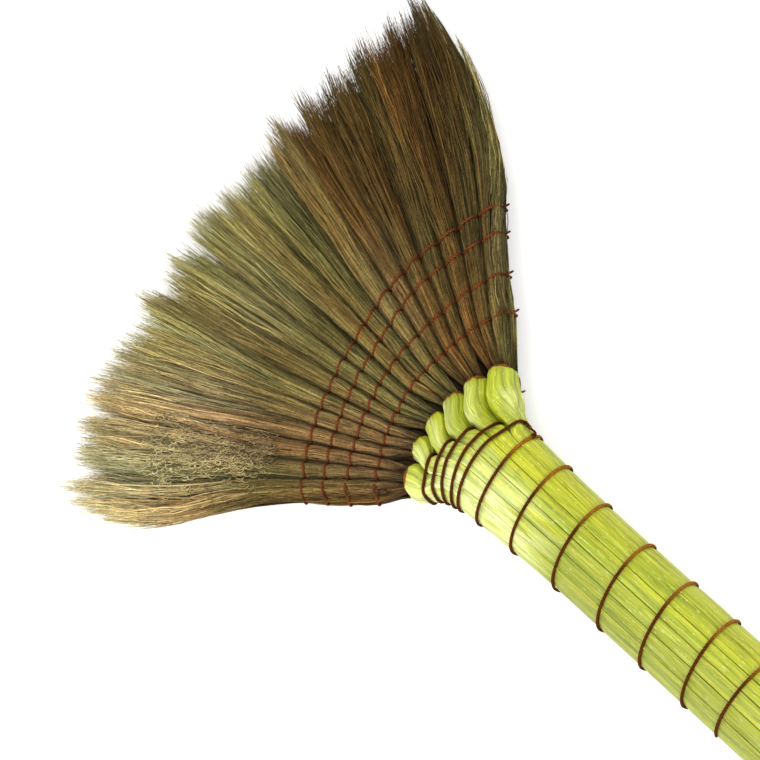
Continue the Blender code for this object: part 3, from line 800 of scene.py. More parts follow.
stalk = {
    "pitch": 1.55 * mm,
    "rowShare": 0.87,  # of the pitch, from row to row
    "radius": 0.72 * mm,
    "inset": 1.35 * mm,
    "jitter": 0.07 * mm,
    "uneven": 0.9 * mm,
    "backing": 2.5 * mm,
    "coreInset": 1.5 * mm,
    "around": 10,
    "pith": (0.62, 0.50, 0.27),
    "rind": (0.30, 0.24, 0.09),
    # painted shade inside each straw's hollow and on the core behind the cut ends
    "deep": (0.08, 0.06, 0.03),
    # rings from the side over the rim into the hollow: share of the radius, place behind the cut
    "rings": (
        (1, 14 * mm, "rind"),
        (1, 0.15 * mm, "rind"),
        (0.93, 0, "pith"),
        (0.62, 0.05 * mm, "pith"),
        (0.5, 0.35 * mm, "deep"),
        (0.02, 0.4 * mm, "deep"),
    ),
}


def finishStalks(piece, k):
    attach(piece, "root")
    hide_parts(f"stalks_{k + 1}")


# stalks: short straws in staggered rows, each end a rim round a hollow pith, with painted shade inside it
def makeStalks(k):
    rng = np.random.default_rng(500 + k)
    butt, inset = -broom["handleLength"], stalk["inset"]
    half = halfWidth(butt) / broom["bundles"] - inset
    rows, columns = np.meshgrid(np.arange(-14, 15), np.arange(-3, 4), indexing="ij")
    x = ((columns + 0.5 * (rows % 2)) * stalk["pitch"]).ravel()
    z = (rows * stalk["pitch"] * stalk["rowShare"]).ravel()
    u = bundleMiddle(k) + x / halfWidth(butt)
    room = broom["gripHalf"][1] * np.sqrt(np.maximum(1 - u * u, 0)) - inset * 1.15
    inside = (np.abs(x) <= half * 1.02) & (np.abs(z) < room)
    corner = np.abs(x / half) ** 4 + np.abs(z / np.maximum(room, 1e-6)) ** 4
    kept = inside & (corner < 1.15)
    x, z = x[kept], z[kept]
    count = len(x)
    x = x + rng.normal(0, stalk["jitter"], count) + bundleMiddle(k) * halfWidth(butt)
    z = z + rng.normal(0, stalk["jitter"], count) + axisZ
    radius = stalk["radius"] * rng.uniform(0.82, 1.05, count)
    end = butt + stalk["uneven"] * rng.random(count)
    shares, back, names = zip(*stalk["rings"])
    phi = circle(stalk["around"])
    around = np.stack([np.cos(phi), np.sin(phi)], -1)
    ringXZ = radius[:, None, None, None] * np.array(shares)[None, :, None, None] * around[None, None]
    px = x[:, None, None] + ringXZ[..., 0]
    pz = z[:, None, None] + ringXZ[..., 1]
    py = np.broadcast_to((end[:, None] + np.array(back)[None, :])[:, :, None], px.shape)
    points = np.stack([px, py, pz], -1) + shift
    shade = rng.uniform(0.75, 1.15, count)[:, None, None]
    colours = np.stack([stalk[name] for name in names])
    tint = np.broadcast_to((colours[None] * shade)[:, :, None], points.shape)
    faces = tubeFaces(count, len(shares), stalk["around"])
    finishStalks(tubePiece(f"cutStalks{k + 1}", points, faces, grassMaterial, tint), k)


# stalk core: the sleeve's section drawn in, from just behind the cut ends to the tuft, tinted with painted
# shade
def makeStalkCore(k):
    rings, around = 50, 24
    s = np.linspace(-broom["handleLength"] + stalk["backing"], tieAt(k) - 3 * mm, rings)[:, None]
    points = sectionPoints(k, s, circle(around)[None, :])
    centre = points.mean(1, keepdims=True)
    away = points - centre
    reach = np.linalg.norm(away, axis=-1, keepdims=True)
    points = centre + away * np.clip(1 - stalk["coreInset"] / reach, 0.1, 1)
    tint = np.broadcast_to(np.array(stalk["deep"]), points.shape)
    faces = tubeFaces(1, rings, around, inward=True)
    finishStalks(tubePiece(f"stalkCore{k + 1}", points, faces, grassMaterial, tint), k)


for k in range(broom["bundles"]):
    makeStalks(k)
    makeStalkCore(k)
print("stalks made")

# Tufts

tuft = {
    "rootHalf": (3.9 * mm, 5.0 * mm),  # half width, half thickness at the tie
    "creaseDepth": 0.46,
    "creaseFade": 32 * mm,  # beyond the last row
    "pinch": 0.75 * mm,
    "pinchWidth": 2.4 * mm,
    "overlap": 0.16,
    "overlapSpan": (96 * mm, 60 * mm),
    "rootOut": 3.0 * mm,
    "rootOutTo": 100 * mm,
    "rootOutOver": 40 * mm,
    # bellies of the two edges: size, distance from the pole, half length
    "belly": {-1: (4.6 * mm, 154 * mm, 27 * mm), 1: (4.0 * mm, 197 * mm, 20 * mm)},
}

# The grass's colours, and where they lie: by lay line from the left edge to the right, at the
# distances from the pole in grassPlaces
grassColours = {
    "umber": (0.118, 0.062, 0.015),
    "walnut": (0.135, 0.088, 0.024),
    "rust": (0.215, 0.114, 0.030),
    "olive": (0.205, 0.170, 0.054),
    "brown": (0.225, 0.140, 0.055),
    "moss": (0.320, 0.275, 0.110),
    "greenStraw": (0.47, 0.42, 0.15),
    "rose": (0.50, 0.385, 0.205),
    "sand": (0.74, 0.62, 0.30),
    "straw": (0.74, 0.62, 0.31),
    "paleStraw": (0.78, 0.70, 0.38),
}
grassPlaces = (60 * mm, 108 * mm, 146 * mm, 176 * mm)
grassBands = (
    (-1.00, "umber", "walnut", "brown", "paleStraw"),
    (-0.86, "brown", "olive", "sand", "paleStraw"),
    (-0.74, "brown", "brown", "rose", "straw"),
    (-0.60, "brown", "brown", "rose", "straw"),
    (-0.42, "brown", "olive", "moss", "greenStraw"),
    (-0.20, "olive", "olive", "moss", "greenStraw"),
    (-0.06, "olive", "olive", "moss", "greenStraw"),
    (0.09, "walnut", "walnut", "olive", "greenStraw"),
    (0.20, "olive", "olive", "olive", "moss"),
    (0.36, "walnut", "brown", "rust", "rust"),
    (0.52, "rust", "walnut", "umber", "walnut"),
    (0.66, "umber", "walnut", "walnut", "rust"),
    (0.80, "rust", "walnut", "umber", "umber"),
    (0.93, "olive", "walnut", "olive", "walnut"),
    (1.00, "olive", "moss", "greenStraw", "greenStraw"),
)


# zone colour: straight between the bands by u, then between the places by r
def zoneColour(u, r):
    lines = [band[0] for band in grassBands]
    steps = []
    for i in range(len(grassPlaces)):
        kept = np.array([grassColours[band[i + 1]] for band in grassBands])
        steps.append(np.stack([np.interp(u, lines, kept[:, c]) for c in range(3)], -1))
    colour = steps[0]
    for near, far, step in zip(grassPlaces, grassPlaces[1:], steps[1:]):
        colour = mixed(colour, step, eased((r - near) / (far - near))[..., None])
    return colour


# height of the fan's middle plane: down a little from the ties to the first row, then on down to
# the tips
def fanHeight(u, r):
    first, tieR = rowRadius(0, u), bowed(broom["tie"], u)
    t = np.clip((r - first) / (tipRadius(u) - first), 0, 1.05)
    drop = broom["rowDrop"] * eased((r - tieR) / (first - tieR))
    return mixed(axisZ - drop, broom["tipHeight"], t)


# how near a row's twine is: 1 under it, down to 0 within a few millimetres
def nearRow(u, r):
    return sum(bell((r - rowRadius(row, u)) / tuft["pinchWidth"]) for row in range(rowCount))


# half thickness: grows from the tie, lower at the creases between ribs, pinched under each row
def fanHalf(u, r):
    first, tieR = rowRadius(0, u), bowed(broom["tie"], u)
    t = np.clip((r - first) / (tipRadius(u) - first), 0, 1)
    half = mixed(broom["rowHalf"], broom["tipHalf"], t)
    half = mixed(tuft["rootHalf"][1], half, eased((r - tieR) / (first - tieR)))
    fade = eased((r - rowRadius(rowCount - 1, u)) / tuft["creaseFade"])
    half = half * (1 - tuft["creaseDepth"] * (1 - fade) * np.abs(acrossRib(u)) ** 3.5)
    half = half - tuft["pinch"] * nearRow(u, r)
    edge = np.clip((np.abs(u) - 0.93) / 0.075, 0, 1)
    return half * np.sqrt(1 - 0.9 * edge**2)


# share of the bundle's full width that its grass fills: narrower at the tie, whole before row one,
# and over into its neighbours towards the tips
def tuftFill(k, r):
    middle = bundleMiddle(k)
    tieR, first = bowed(broom["tie"], middle), rowRadius(0, middle)
    rootShare = tuft["rootHalf"][0] * broom["bundles"] / acrossWidth(middle, tieAt(k))
    overlap = tuft["overlap"] * rising(r, tuft["overlapSpan"])
    return mixed(rootShare, 1.0, eased((r - tieR) / (0.85 * (first - tieR)))) + overlap


# how far the outer strands stand out from their lay line, as a change of u: a little at the roots,
# and in a belly further out on either edge
def edgeOut(u, r):
    arc = r * broom["spreads"][1]
    out = tuft["rootOut"] * eased((tuft["rootOutTo"] - r) / tuft["rootOutOver"])
    for side, (size, middle, half) in tuft["belly"].items():
        out = out + np.where(u * side > 0, size * bell((r - middle) / half), 0)
    return np.sign(u) * np.clip((np.abs(u) - 0.72) / 0.28, 0, 1.2) ** 2 * out / arc


def finishTuft(piece, k):
    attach(piece, "root")
    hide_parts(f"grass_{k + 1}")


core = {
    "rings": 84,
    "around": 48,
    "power": 6,
    "back": 6 * mm,  # how far behind the tie it starts
    "end": 0.86,  # of the tip radius
    "endWaves": 7 * mm,
    "widest": 0.955,  # lay line at the fan's edges
    "share": 0.84,  # of the fan's half thickness
    "web": 2.6 * mm,  # half thickness between two neck ties
    "webSpan": (1 * mm, 9 * mm),  # from the tie on
    "thin": 0.72,
    "thinSpan": (92 * mm, 50 * mm),
    "paleSpan": (110 * mm, 30 * mm),
    # the tone of the pad's painted shade, and where it is paler at the left
    "shadeDepths": (0.30, 0.50),  # of its tone, and where it is paler at the left
}


# core: a closed dark pad inside the strands, a superellipse in section, thin where it fills the gap
# between two neck ties and towards the tips; its dark tint is painted shade of the deep grass between
# the strands, darkest in that gap
def makeTuftCore(k):
    rings, around = core["rings"], core["around"]
    t = np.linspace(0, 1, rings)[:, None]
    c, v = superellipse(circle(around)[None, :], core["power"])
    middle, last = bundleMiddle(k), broom["bundles"] - 1
    tieR = bowed(broom["tie"], middle)
    r = mixed(tieR - core["back"], core["end"] * tipRadius(middle), t)
    narrow = mixed(tuftFill(k, r), 1.0, 0.35)
    outer = (c * (1 if k == last else -1 if k == 0 else 0)) > 0
    u = middle + c / broom["bundles"] * np.where(outer, narrow, 1.0)
    u = np.clip(u, -core["widest"], core["widest"])
    taper = np.sqrt(np.clip(1 - np.clip((t - 0.7) / 0.3, 0, 1) ** 2, 0.0004, 1))
    r = r + core["endWaves"] * waves(200 + k, c * 6) * eased((t - 0.6) / 0.4)
    grown = rising(r - tieR, core["webSpan"])
    thin = 1 - core["thin"] * rising(r, core["thinSpan"])
    half = mixed(core["web"], fanHalf(u, r) * core["share"], grown) * taper * thin
    points = placed(fanPoint(u, r), fanHeight(u, r) + v * half)
    streak = 0.75 + 0.35 * waves(210 + k, u * 160, r / (90 * mm), count=10)
    # painted shade: the pad is dark, paler to the left further out, and darkest in the gap between the
    # neck ties
    depth = mixed(*core["shadeDepths"], eased((-u - 0.4) / 0.3) * rising(r, core["paleSpan"]))
    depth = depth * mixed(0.5, 1.0, grown)
    tint = zoneColour(u, r) * (np.clip(streak, 0.2, 1.4) * depth)[..., None]
    faces = tubeFaces(1, rings, around, inward=True)
    finishTuft(tubePiece(f"tuftCore{k + 1}", points, faces, grassMaterial, tint), k)


# Strand kinds: how many to a bundle, rings from the last row to the tip, where they end as a share of
# the tip radius, their radius, and how deep inside the fan they lie. Whole ones start at the tie and
# also have a ring at each row of twine and between them; others start further out.
strandKinds = {
    "Grass": {
        "count": 1450,
        "rings": 8,
        "whole": True,
        "to": (0.92, 1.01),
        "radius": 0.24 * mm,
        "depth": 0.24,
    },
    "Wisps": {
        "count": 1650,
        "rings": 7,
        "whole": False,
        "to": (0.92, 1.04),
        "radius": 0.15 * mm,
        "depth": 0.45,
    },
}
# Tufts of tufts, the first of which are the ribs: how many clumps to a bundle, how strongly they draw
# strands in, how they differ in side, length, height, tone and hue, how much shorter and how much
# lower their outer strands are, and how much painted shade darkens the valleys between them
clumpColumns = ("count", "pull", "drift", "length", "lift", "shade", "hue", "point", "round", "valleyShade")
clumpRows = (
    (broom["ribs"] // broom["bundles"], 0.24, 0.002, 0.006, 0.4 * mm, 0.08, 0.035, 0.006, 0.22, 0),
    (6, 0.10, 0.005, 0.012, 0.6 * mm, 0.10, 0.020, 0.012, 0.10, 0),
    (15, 0.38, 0.006, 0.016, 0.8 * mm, 0.17, 0.060, 0.035, 0.12, 0.38),
    (38, 0.42, 0.003, 0.012, 0.5 * mm, 0.16, 0.030, 0.018, 0.06, 0),
)
clumpSizes = [dict(zip(clumpColumns, row)) for row in clumpRows]
# How strands grow. A span says from which distance from the pole on something sets in, and over what
# length.
growth = {
    "underShare": 0.42,  # of the strands, on the under side
    "longer": (0.04, 0.03),  # the share of strands that are longer, and by how much
    "caps": (1.02, 1.05),  # the longest, near the left edge and elsewhere
    "capLine": -0.7,
    "lockLine": 0.935,  # beyond this lay line some locks leave the outline
    "lockEnd": (0.83, 0.12),  # where they end, and how much they differ
    "lockOut": (1.0 * mm, 1.5 * mm),
    "rootRings": (0.35, 0.7),  # of the way from the tie to the first row
    "looseSpan": (98 * mm, 92 * mm),
    "gatherSpan": (96 * mm, 75 * mm),
    "valleyShadeSpan": (90 * mm, 35 * mm),
    "roundSpan": (88 * mm, 30 * mm),
    "fillSpan": (100 * mm, 75 * mm),  # where strands start to fill the thickness
    "sway": 0.0040,
    "swayWave": (22 * mm, 60 * mm),
    "curly": (-0.82, 0.09, 0.9),  # lay line, half width and how much more sway
    "curlySpan": (95 * mm, 30 * mm),
    "wander": (0.1 * mm, 0.8 * mm),
    "wanderWave": (22 * mm, 56 * mm),
    "wanderSpan": (48 * mm, 8 * mm),
    "stray": 0.009,
    "edge": (1.006, 0.017),  # lay line at which strands turn back, and its spread
    "liftSpread": 0.6 * mm,
    "bumps": 0.28 * mm,
    "inset": 0.15 * mm,
}
# The strands' tones
grassTones = {
    "own": (0.06, 0.21),
    # the dark strands are painted shade that stands in for the dark gaps between strands
    "dark": (0.14, 0.45),  # the share of strands that are dark, and their tone
    "pale": (0.04, 1.3),
    "along": 0.30,
    "alongWave": (11 * mm, 36 * mm),
    "rootSpan": (47 * mm, 16 * mm),  # darker up to here
    "bandSpread": (0.03, 7 * mm),  # of the colour bands, in u and in r
    # painted shade in the creases between ribs, fading out beyond the last row
    "crease": 0.62,
    "creaseFade": 75 * mm,
    "hueSpread": 0.07,
    # paler tips: partly the grass's own paler ends, partly painted light shining through them
    "tip": (0.60, 0.58, 0.38),
    "tipShare": 0.9,
    "tipSpan": (0.925, 0.10),  # of the tip radius
}


# clumps: each strand's clump by its place and face, and the clump's middle, half width and traits.
# They are of uneven width, but for the ribs.
def clumpsOf(size, k, across, face):
    count = size["count"]
    rng = np.random.default_rng(3000 + 10 * k + count)
    even = np.linspace(0, 1, count + 1)[1:-1]
    edges = np.sort(rng.uniform(0, 1, (2, count - 1)) * 0.5 + even * 0.5, 1)
    if count == broom["ribs"] // broom["bundles"]:
        edges = even[None].repeat(2, 0)
    edges = np.concatenate([np.zeros((2, 1)), edges, np.ones((2, 1))], 1)
    mine = np.where(face == 0, *(np.searchsorted(edges[side], across) for side in (0, 1))) - 1
    mine = mine.clip(0, count - 1)
    middle = (edges[face, mine] + edges[face, mine + 1]) / 2
    half = (edges[face, mine + 1] - edges[face, mine]) / 2
    traits = rng.normal(0, 1, (5, 2, count))
    return middle, np.maximum(half, 0.01), traits[:, face, mine]


# strand stations: the tie, two places before the first row, each row and the middles between them,
# then on to the tip; the wisps start somewhere between the last row and the tip
def strandRadii(kind, k, uTip, end, rng):
    count = len(uTip)
    if kind["whole"]:
        rows = [rowRadius(row, uTip) for row in range(rowCount)]
        tieR = tieAt(k) + broom["poleDrop"] - 1 * mm + 0 * uTip
        inner = [tieR, *(mixed(tieR, rows[0], share) for share in growth["rootRings"]), rows[0]]
        for near, far in zip(rows, rows[1:]):
            inner += [mixed(near, far, 0.5), far]
        start = rows[-1]
    else:
        start = mixed(rowRadius(rowCount - 1, uTip), end, rng.uniform(0.05, 0.75, count))
        inner = [start]
    share = np.linspace(0, 1, kind["rings"] + 1)[1:] ** 0.9
    outer = [mixed(start, end, value) for value in share]
    return np.stack(inner + outer, -1)


# where strands end, as a share of the tip radius, and how far they lean out: near the outline some
# locks, clumps of the finest size, are short and lean out of it
def strandEnds(kind, uTip, across, found, rng):
    count, (share, longer) = kind["count"], growth["longer"]
    finish = rng.uniform(*kind["to"], count)
    finish = np.where(rng.random(count) < share, finish + longer, finish)
    for size, (centre, half, traits) in zip(clumpSizes, found):
        finish = finish + traits[0] * size["length"] - size["point"] * ((across - centre) / half) ** 2
    lock = found[-1][2]
    leaving = (np.abs(uTip) > growth["lockLine"]) & (lock[2] > -0.5)
    end, differ = growth["lockEnd"]
    lockEnd = end + differ * np.clip(lock[3], -1.5, 1.2) + rng.uniform(-0.04, 0.02, count)
    cap = np.where(uTip < growth["capLine"], *growth["caps"])
    least, most = growth["lockOut"]
    leanOut = np.sign(uTip) * leaving * (least + most * np.clip(np.abs(lock[1]), 0, 2))
    return np.where(leaving, lockEnd, np.minimum(finish, cap)), leanOut


# what strands have from their clumps: place across the bundle, drift in u, lift, tone and warmth, how
# low they stand at the clumps' sides, and how much painted shade they get in the valleys between clumps
def clumpEffects(found, across, r, loose):
    place, drift, lift, shade, warm, stand, valleyShade = across[:, None], 0, 0, 0, 0, 1, 0
    for size, (centre, half, traits) in zip(clumpSizes, found):
        place = mixed(place, centre[:, None], size["pull"] * rising(r, growth["gatherSpan"]))
        drift = drift + traits[1][:, None] * size["drift"] * loose**1.5
        lift = lift + traits[2][:, None] * size["lift"] * loose
        shade = shade + traits[3] * size["shade"]
        warm = warm + traits[4][:, None] * size["hue"]
        off = np.abs((across - centre) / half)[:, None]
        stand = stand * (1 - size["round"] * off**2.5 * rising(r, growth["roundSpan"]))
        # painted shade in the valleys between the clumps of this size
        if size["valleyShade"]:
            valleyShade = size["valleyShade"] * off**3 * rising(r, growth["valleyShadeSpan"])
    return place, drift, lift, shade, warm, stand, valleyShade


# three-sided tubes of the given radii round their centre lines, each turned by its own angle
def threeSided(centre, radii, turn=0):
    up = np.zeros_like(centre)
    up[..., 2] = 1
    _, normal, binormal = pathFrames(centre, up)
    phi = turn + circle(3)[:, None]
    outward = normal[:, :, None] * np.cos(phi) + binormal[:, :, None] * np.sin(phi)
    return centre[:, :, None] + radii[..., None, None] * outward


# strand tint: its zone's colour times a tone: its clumps', its own, a few dark ones that are painted
# shade for the gaps between strands and a few pale ones, slow changes along it, darker at the root,
# painted shade in the creases between ribs down to where they fade out and in the valleys between
# clumps; then warmer or cooler, and brighter at the tip on the left, partly the grass's own paler
# ends and partly painted light shining through them
def strandTint(middle, uTip, u, r, shade, warm, valleyShade, phase, rng):
    count, tones = len(r), grassTones
    shade = np.exp(shade * (1 - 0.4 * eased((-middle - 0.3) / 0.3)) + rng.normal(*tones["own"], count))
    # a few dark strands, painted shade for the gaps between strands, and a few pale ones
    for share, tone in (tones["dark"], tones["pale"]):
        shade = shade * np.where(rng.random(count) < share, tone, 1)
    wave = rng.uniform(*tones["alongWave"], (count, 1))
    along = 1 + tones["along"] * np.sin(2 * math.pi * r / wave + phase * 5)
    shade = shade[:, None] * along * (0.50 + 0.50 * rising(r, tones["rootSpan"]))
    sideways, lengthways = (rng.normal(0, spread, (count, 1)) for spread in tones["bandSpread"])
    tint = zoneColour(uTip + 0 * r + 0.3 * warm + sideways, r + lengthways)
    # painted shade in the creases between ribs and in the valleys between clumps
    fade = eased((r - rowRadius(rowCount - 1, uTip)) / tones["creaseFade"])
    crease = np.abs(acrossRib(u)) ** 2.4 * (1 - fade)
    shade = (shade * (1 - tones["crease"] * crease) * (1 - valleyShade)).clip(0, 1.6)
    hue = warm + rng.normal(0, tones["hueSpread"], (count, 1))
    tint = tint * shade[..., None] * np.stack([1 + hue, 1 + 0.15 * hue, 1 - 0.1 * hue], -1)
    # paler tips on the left half: partly the grass's own ends, partly painted light through them
    bright = tones["tipShare"] * rising(r / tipRadius(uTip), tones["tipSpan"])
    bright = bright * rng.random((count, 1)) ** 0.7 * (1 - 0.95 * eased(uTip / 0.35))
    return mixed(tint, np.array(tones["tip"]), bright[..., None])


# strand: it lies at its place across the bundle, drawn towards its clumps, plus waves that grow to
# the tip; its height is a share of the half thickness there, and evens out where strands fill it
def growStrands(k, kindName):
    kind = strandKinds[kindName]
    count = kind["count"]
    rng = np.random.default_rng(1000 + 10 * k + len(kindName))
    across = (np.arange(count) + rng.random(count)) / count
    rng.shuffle(across)
    face = (rng.random(count) < growth["underShare"]).astype(int)
    side = np.where(face == 0, 1, -1) * (1.0 - kind["depth"] * rng.random(count) ** 1.3)
    filling = rng.random((count, 1)) ** 1.7
    middle = bundleMiddle(k)
    uTip = middle + (2 * across - 1) / broom["bundles"]
    found = [clumpsOf(size, k, across, face) for size in clumpSizes]
    finish, leanOut = strandEnds(kind, uTip, across, found, rng)
    r = strandRadii(kind, k, uTip, tipRadius(uTip) * finish, rng)
    uTip = uTip[:, None]
    tipShare = np.clip((r - r[:, :1]) / (r[:, -1:] - r[:, :1]), 0, 1)
    loose = np.clip((r - growth["looseSpan"][0]) / growth["looseSpan"][1], 0, 1.2)
    place, drift, lift, shade, warm, stand, valleyShade = clumpEffects(found, across, r, loose)
    phase = rng.random((count, 1)) * 2 * math.pi
    wave = rng.uniform(*growth["swayWave"], (count, 1))
    line, half, more = growth["curly"]
    curly = 1 + more * bell((uTip - line) / half) * rising(r, growth["curlySpan"])
    sway = growth["sway"] * loose**1.2 * np.sin(2 * math.pi * r / wave * np.sqrt(curly) + phase) * curly
    wander, wave = (rng.uniform(*growth[name], (count, 1)) for name in ("wander", "wanderWave"))
    wander = wander * np.sin(2 * math.pi * r / wave + 3 * phase)
    wander = wander * rising(r, growth["wanderSpan"]) / (r * broom["spreads"][1])
    stray = rng.normal(0, 1, (count, 1)) * growth["stray"] * loose**1.6
    outward = leanOut[:, None] * rng.uniform(0.7, 1.2, (count, 1)) * tipShare**1.5
    ownEdge = 1 + rng.uniform(-0.75, 0.1, (count, 1)) * loose.clip(0, 1)
    u = middle + (2 * place - 1) * tuftFill(k, r) / broom["bundles"] + sway + wander + drift + stray
    edge, spread = growth["edge"]
    limit = edge + rng.normal(0, spread, (count, 1)) * (0.25 + loose)
    u = np.where(np.abs(u) > limit, np.sign(u) * (2 * limit - np.abs(u)), u)
    u = u + edgeOut(u, r) * ownEdge
    lift = lift + rng.normal(0, growth["liftSpread"], (count, 1)) * loose
    bumps = rng.normal(0, growth["bumps"], r.shape) * np.clip(1 - nearRow(uTip, r), 0, 1)
    bumps = bumps * (1 - loose.clip(0, 1) * 0.7)
    height = side[:, None] * (1 - filling * rising(r, growth["fillSpan"]))
    z = fanHeight(u, r) + height * (fanHalf(u, r) * stand - growth["inset"]) + lift + bumps
    radius = kind["radius"] * np.exp(rng.normal(0, 0.30, (count, 1)))
    thick = radius * np.clip(0.8 + tipShare, 0, 1) * np.clip((1.02 - tipShare) / 0.36, 0.15, 1) ** 0.8
    flat = fanPoint(u, r)
    ray = unitRows(flat)
    flat = flat + outward[..., None] * np.stack([ray[..., 1], -ray[..., 0]], -1)
    centre = placed(flat, np.maximum(z, thick * 1.1))
    if kind["whole"]:  # straight from the tie to the first row
        first = len(growth["rootRings"]) + 1
        for ring, share in enumerate(growth["rootRings"], 1):
            centre[:, ring, :2] = mixed(centre[:, 0, :2], centre[:, first, :2], share)
    points = threeSided(centre, thick, rng.random((count, 1, 1, 1)) * 2 * math.pi)
    tint = strandTint(middle, uTip, u, r, shade, warm, valleyShade, phase, rng)
    tint = np.broadcast_to(tint[:, :, None], points.shape)
    faces = tubeFaces(count, r.shape[1], 3)
    finishTuft(tubePiece(f"tuft{kindName}{k + 1}", points, faces, grassMaterial, tint), k)


# Crinkled seed heads that lie on the first bundle near its outer edge
curls = {
    "count": 700,
    "rings": 20,
    "radius": 0.15 * mm,
    "middle": (-0.80, 0.07),  # lay line and how far round it
    "lines": (-1.0, -0.66),  # that they keep between
    "places": (100 * mm, 158 * mm),
    "length": (3 * mm, 6.5 * mm),
    "swing": (0.3 * mm, 0.7 * mm),
    "wave": (2.2 * mm, 4.0 * mm),
    "lift": 0.2 * mm,
    "paler": 20 * mm,  # their colour is that of the grass so much further out
    "dark": (0.35, 0.30),  # the share that are dark, and their tone
}


# curl: on along r by its length, swinging to both sides and up and down in a sine of its own wave
def growCurls():
    rng = np.random.default_rng(77)
    count = curls["count"]
    t = np.linspace(0, 1, curls["rings"])[None, :]
    length, swing, wave = (rng.uniform(*curls[name], (count, 1)) for name in ("length", "swing", "wave"))
    turn = 2 * math.pi * (length * t / wave + rng.random((count, 1)))
    line = rng.normal(*curls["middle"], (count, 1))
    line = line + rng.normal(0, 0.2, (count, 1)) * length * t / (130 * mm)
    r = rng.uniform(*curls["places"], (count, 1)) + length * t + 1.1 * swing * np.cos(turn)
    u = line + swing * np.sin(turn) / (r * broom["spreads"][1])
    u = np.clip(u, *curls["lines"])
    z = fanHeight(u, r) + fanHalf(u, r) + curls["lift"] + 0.35 * swing * (1 + np.cos(turn * 0.7))
    centre = placed(fanPoint(u + edgeOut(u, r), r), z)
    thick = curls["radius"] * np.sin(math.pi * np.clip(t, 0.06, 0.94)) ** 0.5
    points = threeSided(centre, thick * rng.uniform(0.7, 1.3, (count, 1)))
    share, dark = curls["dark"]
    tone = rng.uniform(0.6, 1.15, (count, 1)) * np.where(rng.random((count, 1)) < share, dark, 1)
    tint = zoneColour(u, r + curls["paler"]) * tone[..., None]
    tint = np.broadcast_to(tint[:, :, None], points.shape)
    faces = tubeFaces(count, curls["rings"], 3)
    finishTuft(tubePiece("tuftCurls1", points, faces, grassMaterial, tint), 0)


growCurls()
for k in range(broom["bundles"]):
    makeTuftCore(k)
    for kindName in strandKinds:
        growStrands(k, kindName)
print("tufts made")

# Cords

cord = {
    "radius": 0.64 * mm,
    "plies": 3,
    "pitch": 4.2 * mm,
    "around": 10,
    "step": 0.45 * mm,
    # painted backlight: how much lighter the cord is on the right of the grip
    "backlight": (3.2, 5.2, 4.2),  # how much lighter on the right of the grip
}
twine = {"radius": 0.50 * mm, "plies": 2, "pitch": 2.8 * mm, "around": 10, "step": 0.4 * mm}
tie = {
    "radius": 0.48 * mm,
    "plies": 2,
    "pitch": 2.4 * mm,
    "around": 10,
    "step": 0.4 * mm,
    "turns": 1.6,
    "length": 1.0 * mm,  # from its first turn to its last
    "out": 0.35 * mm,
    "tail": 9 * mm,
}


# twisted cord: radius R (0.8 + 0.22 |cos(plies (phi - twist) / 2)|^0.7) round the path, with
# painted shade in the grooves
def makeCord(name, path, outward, kind, material, node, tone=None):
    _, normal, binormal = pathFrames(path, outward)
    way = np.arange(len(path)) * kind["step"]
    phi = circle(kind["around"])
    turn = phi[None, :] - (way * 2 * math.pi / kind["pitch"])[:, None]
    lobe = np.abs(np.cos(kind["plies"] * turn / 2))
    radius = kind["radius"] * (0.80 + 0.22 * lobe**0.7)
    ends = np.clip(np.minimum(way, way[-1] - way) / kind["radius"], 0.15, 1) ** 0.5
    radius = (radius * ends[:, None])[..., None]
    points = path[:, None] + radius * (
        normal[:, None] * np.cos(phi)[None, :, None] + binormal[:, None] * np.sin(phi)[None, :, None]
    )
    # painted shade in the grooves between plies
    tint = np.repeat((0.45 + 0.6 * lobe)[..., None], 3, -1)
    if tone is not None:
        tint = tint * tone[:, None]
    faces = tubeFaces(1, len(path), kind["around"])
    piece = tubePiece(name, points, faces, material, tint)
    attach(piece, "root")
    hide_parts(node)


# one point of the cord's route: on bundle k's section at angle phi and station s, lifted by reach
def routePoint(k, phi, s, reach):
    stations = np.array([s - 0.5 * mm, s, s + 0.5 * mm])[:, None]
    near = sectionPoints(k, stations, np.array([[phi - 0.03, phi, phi + 0.03]]))
    along, around = near[2, 1] - near[0, 1], near[1, 2] - near[1, 0]
    normal = np.cross(along, around)
    return near[1, 1] + normal / np.linalg.norm(normal) * reach


# hull: the points of a closed outline that a taut cord would touch, over it (1) or under it (-1),
# from the left to the right
def tautOver(w, z, side):
    kept = []
    for i in np.lexsort((side * z, w)):
        while len(kept) > 1:
            a, b = kept[-2], kept[-1]
            bend = (w[b] - w[a]) * (z[i] - z[a]) - (z[b] - z[a]) * (w[i] - w[a])
            if bend * side < 0:
                break
            kept.pop()
        kept.append(i)
    return np.array(kept)


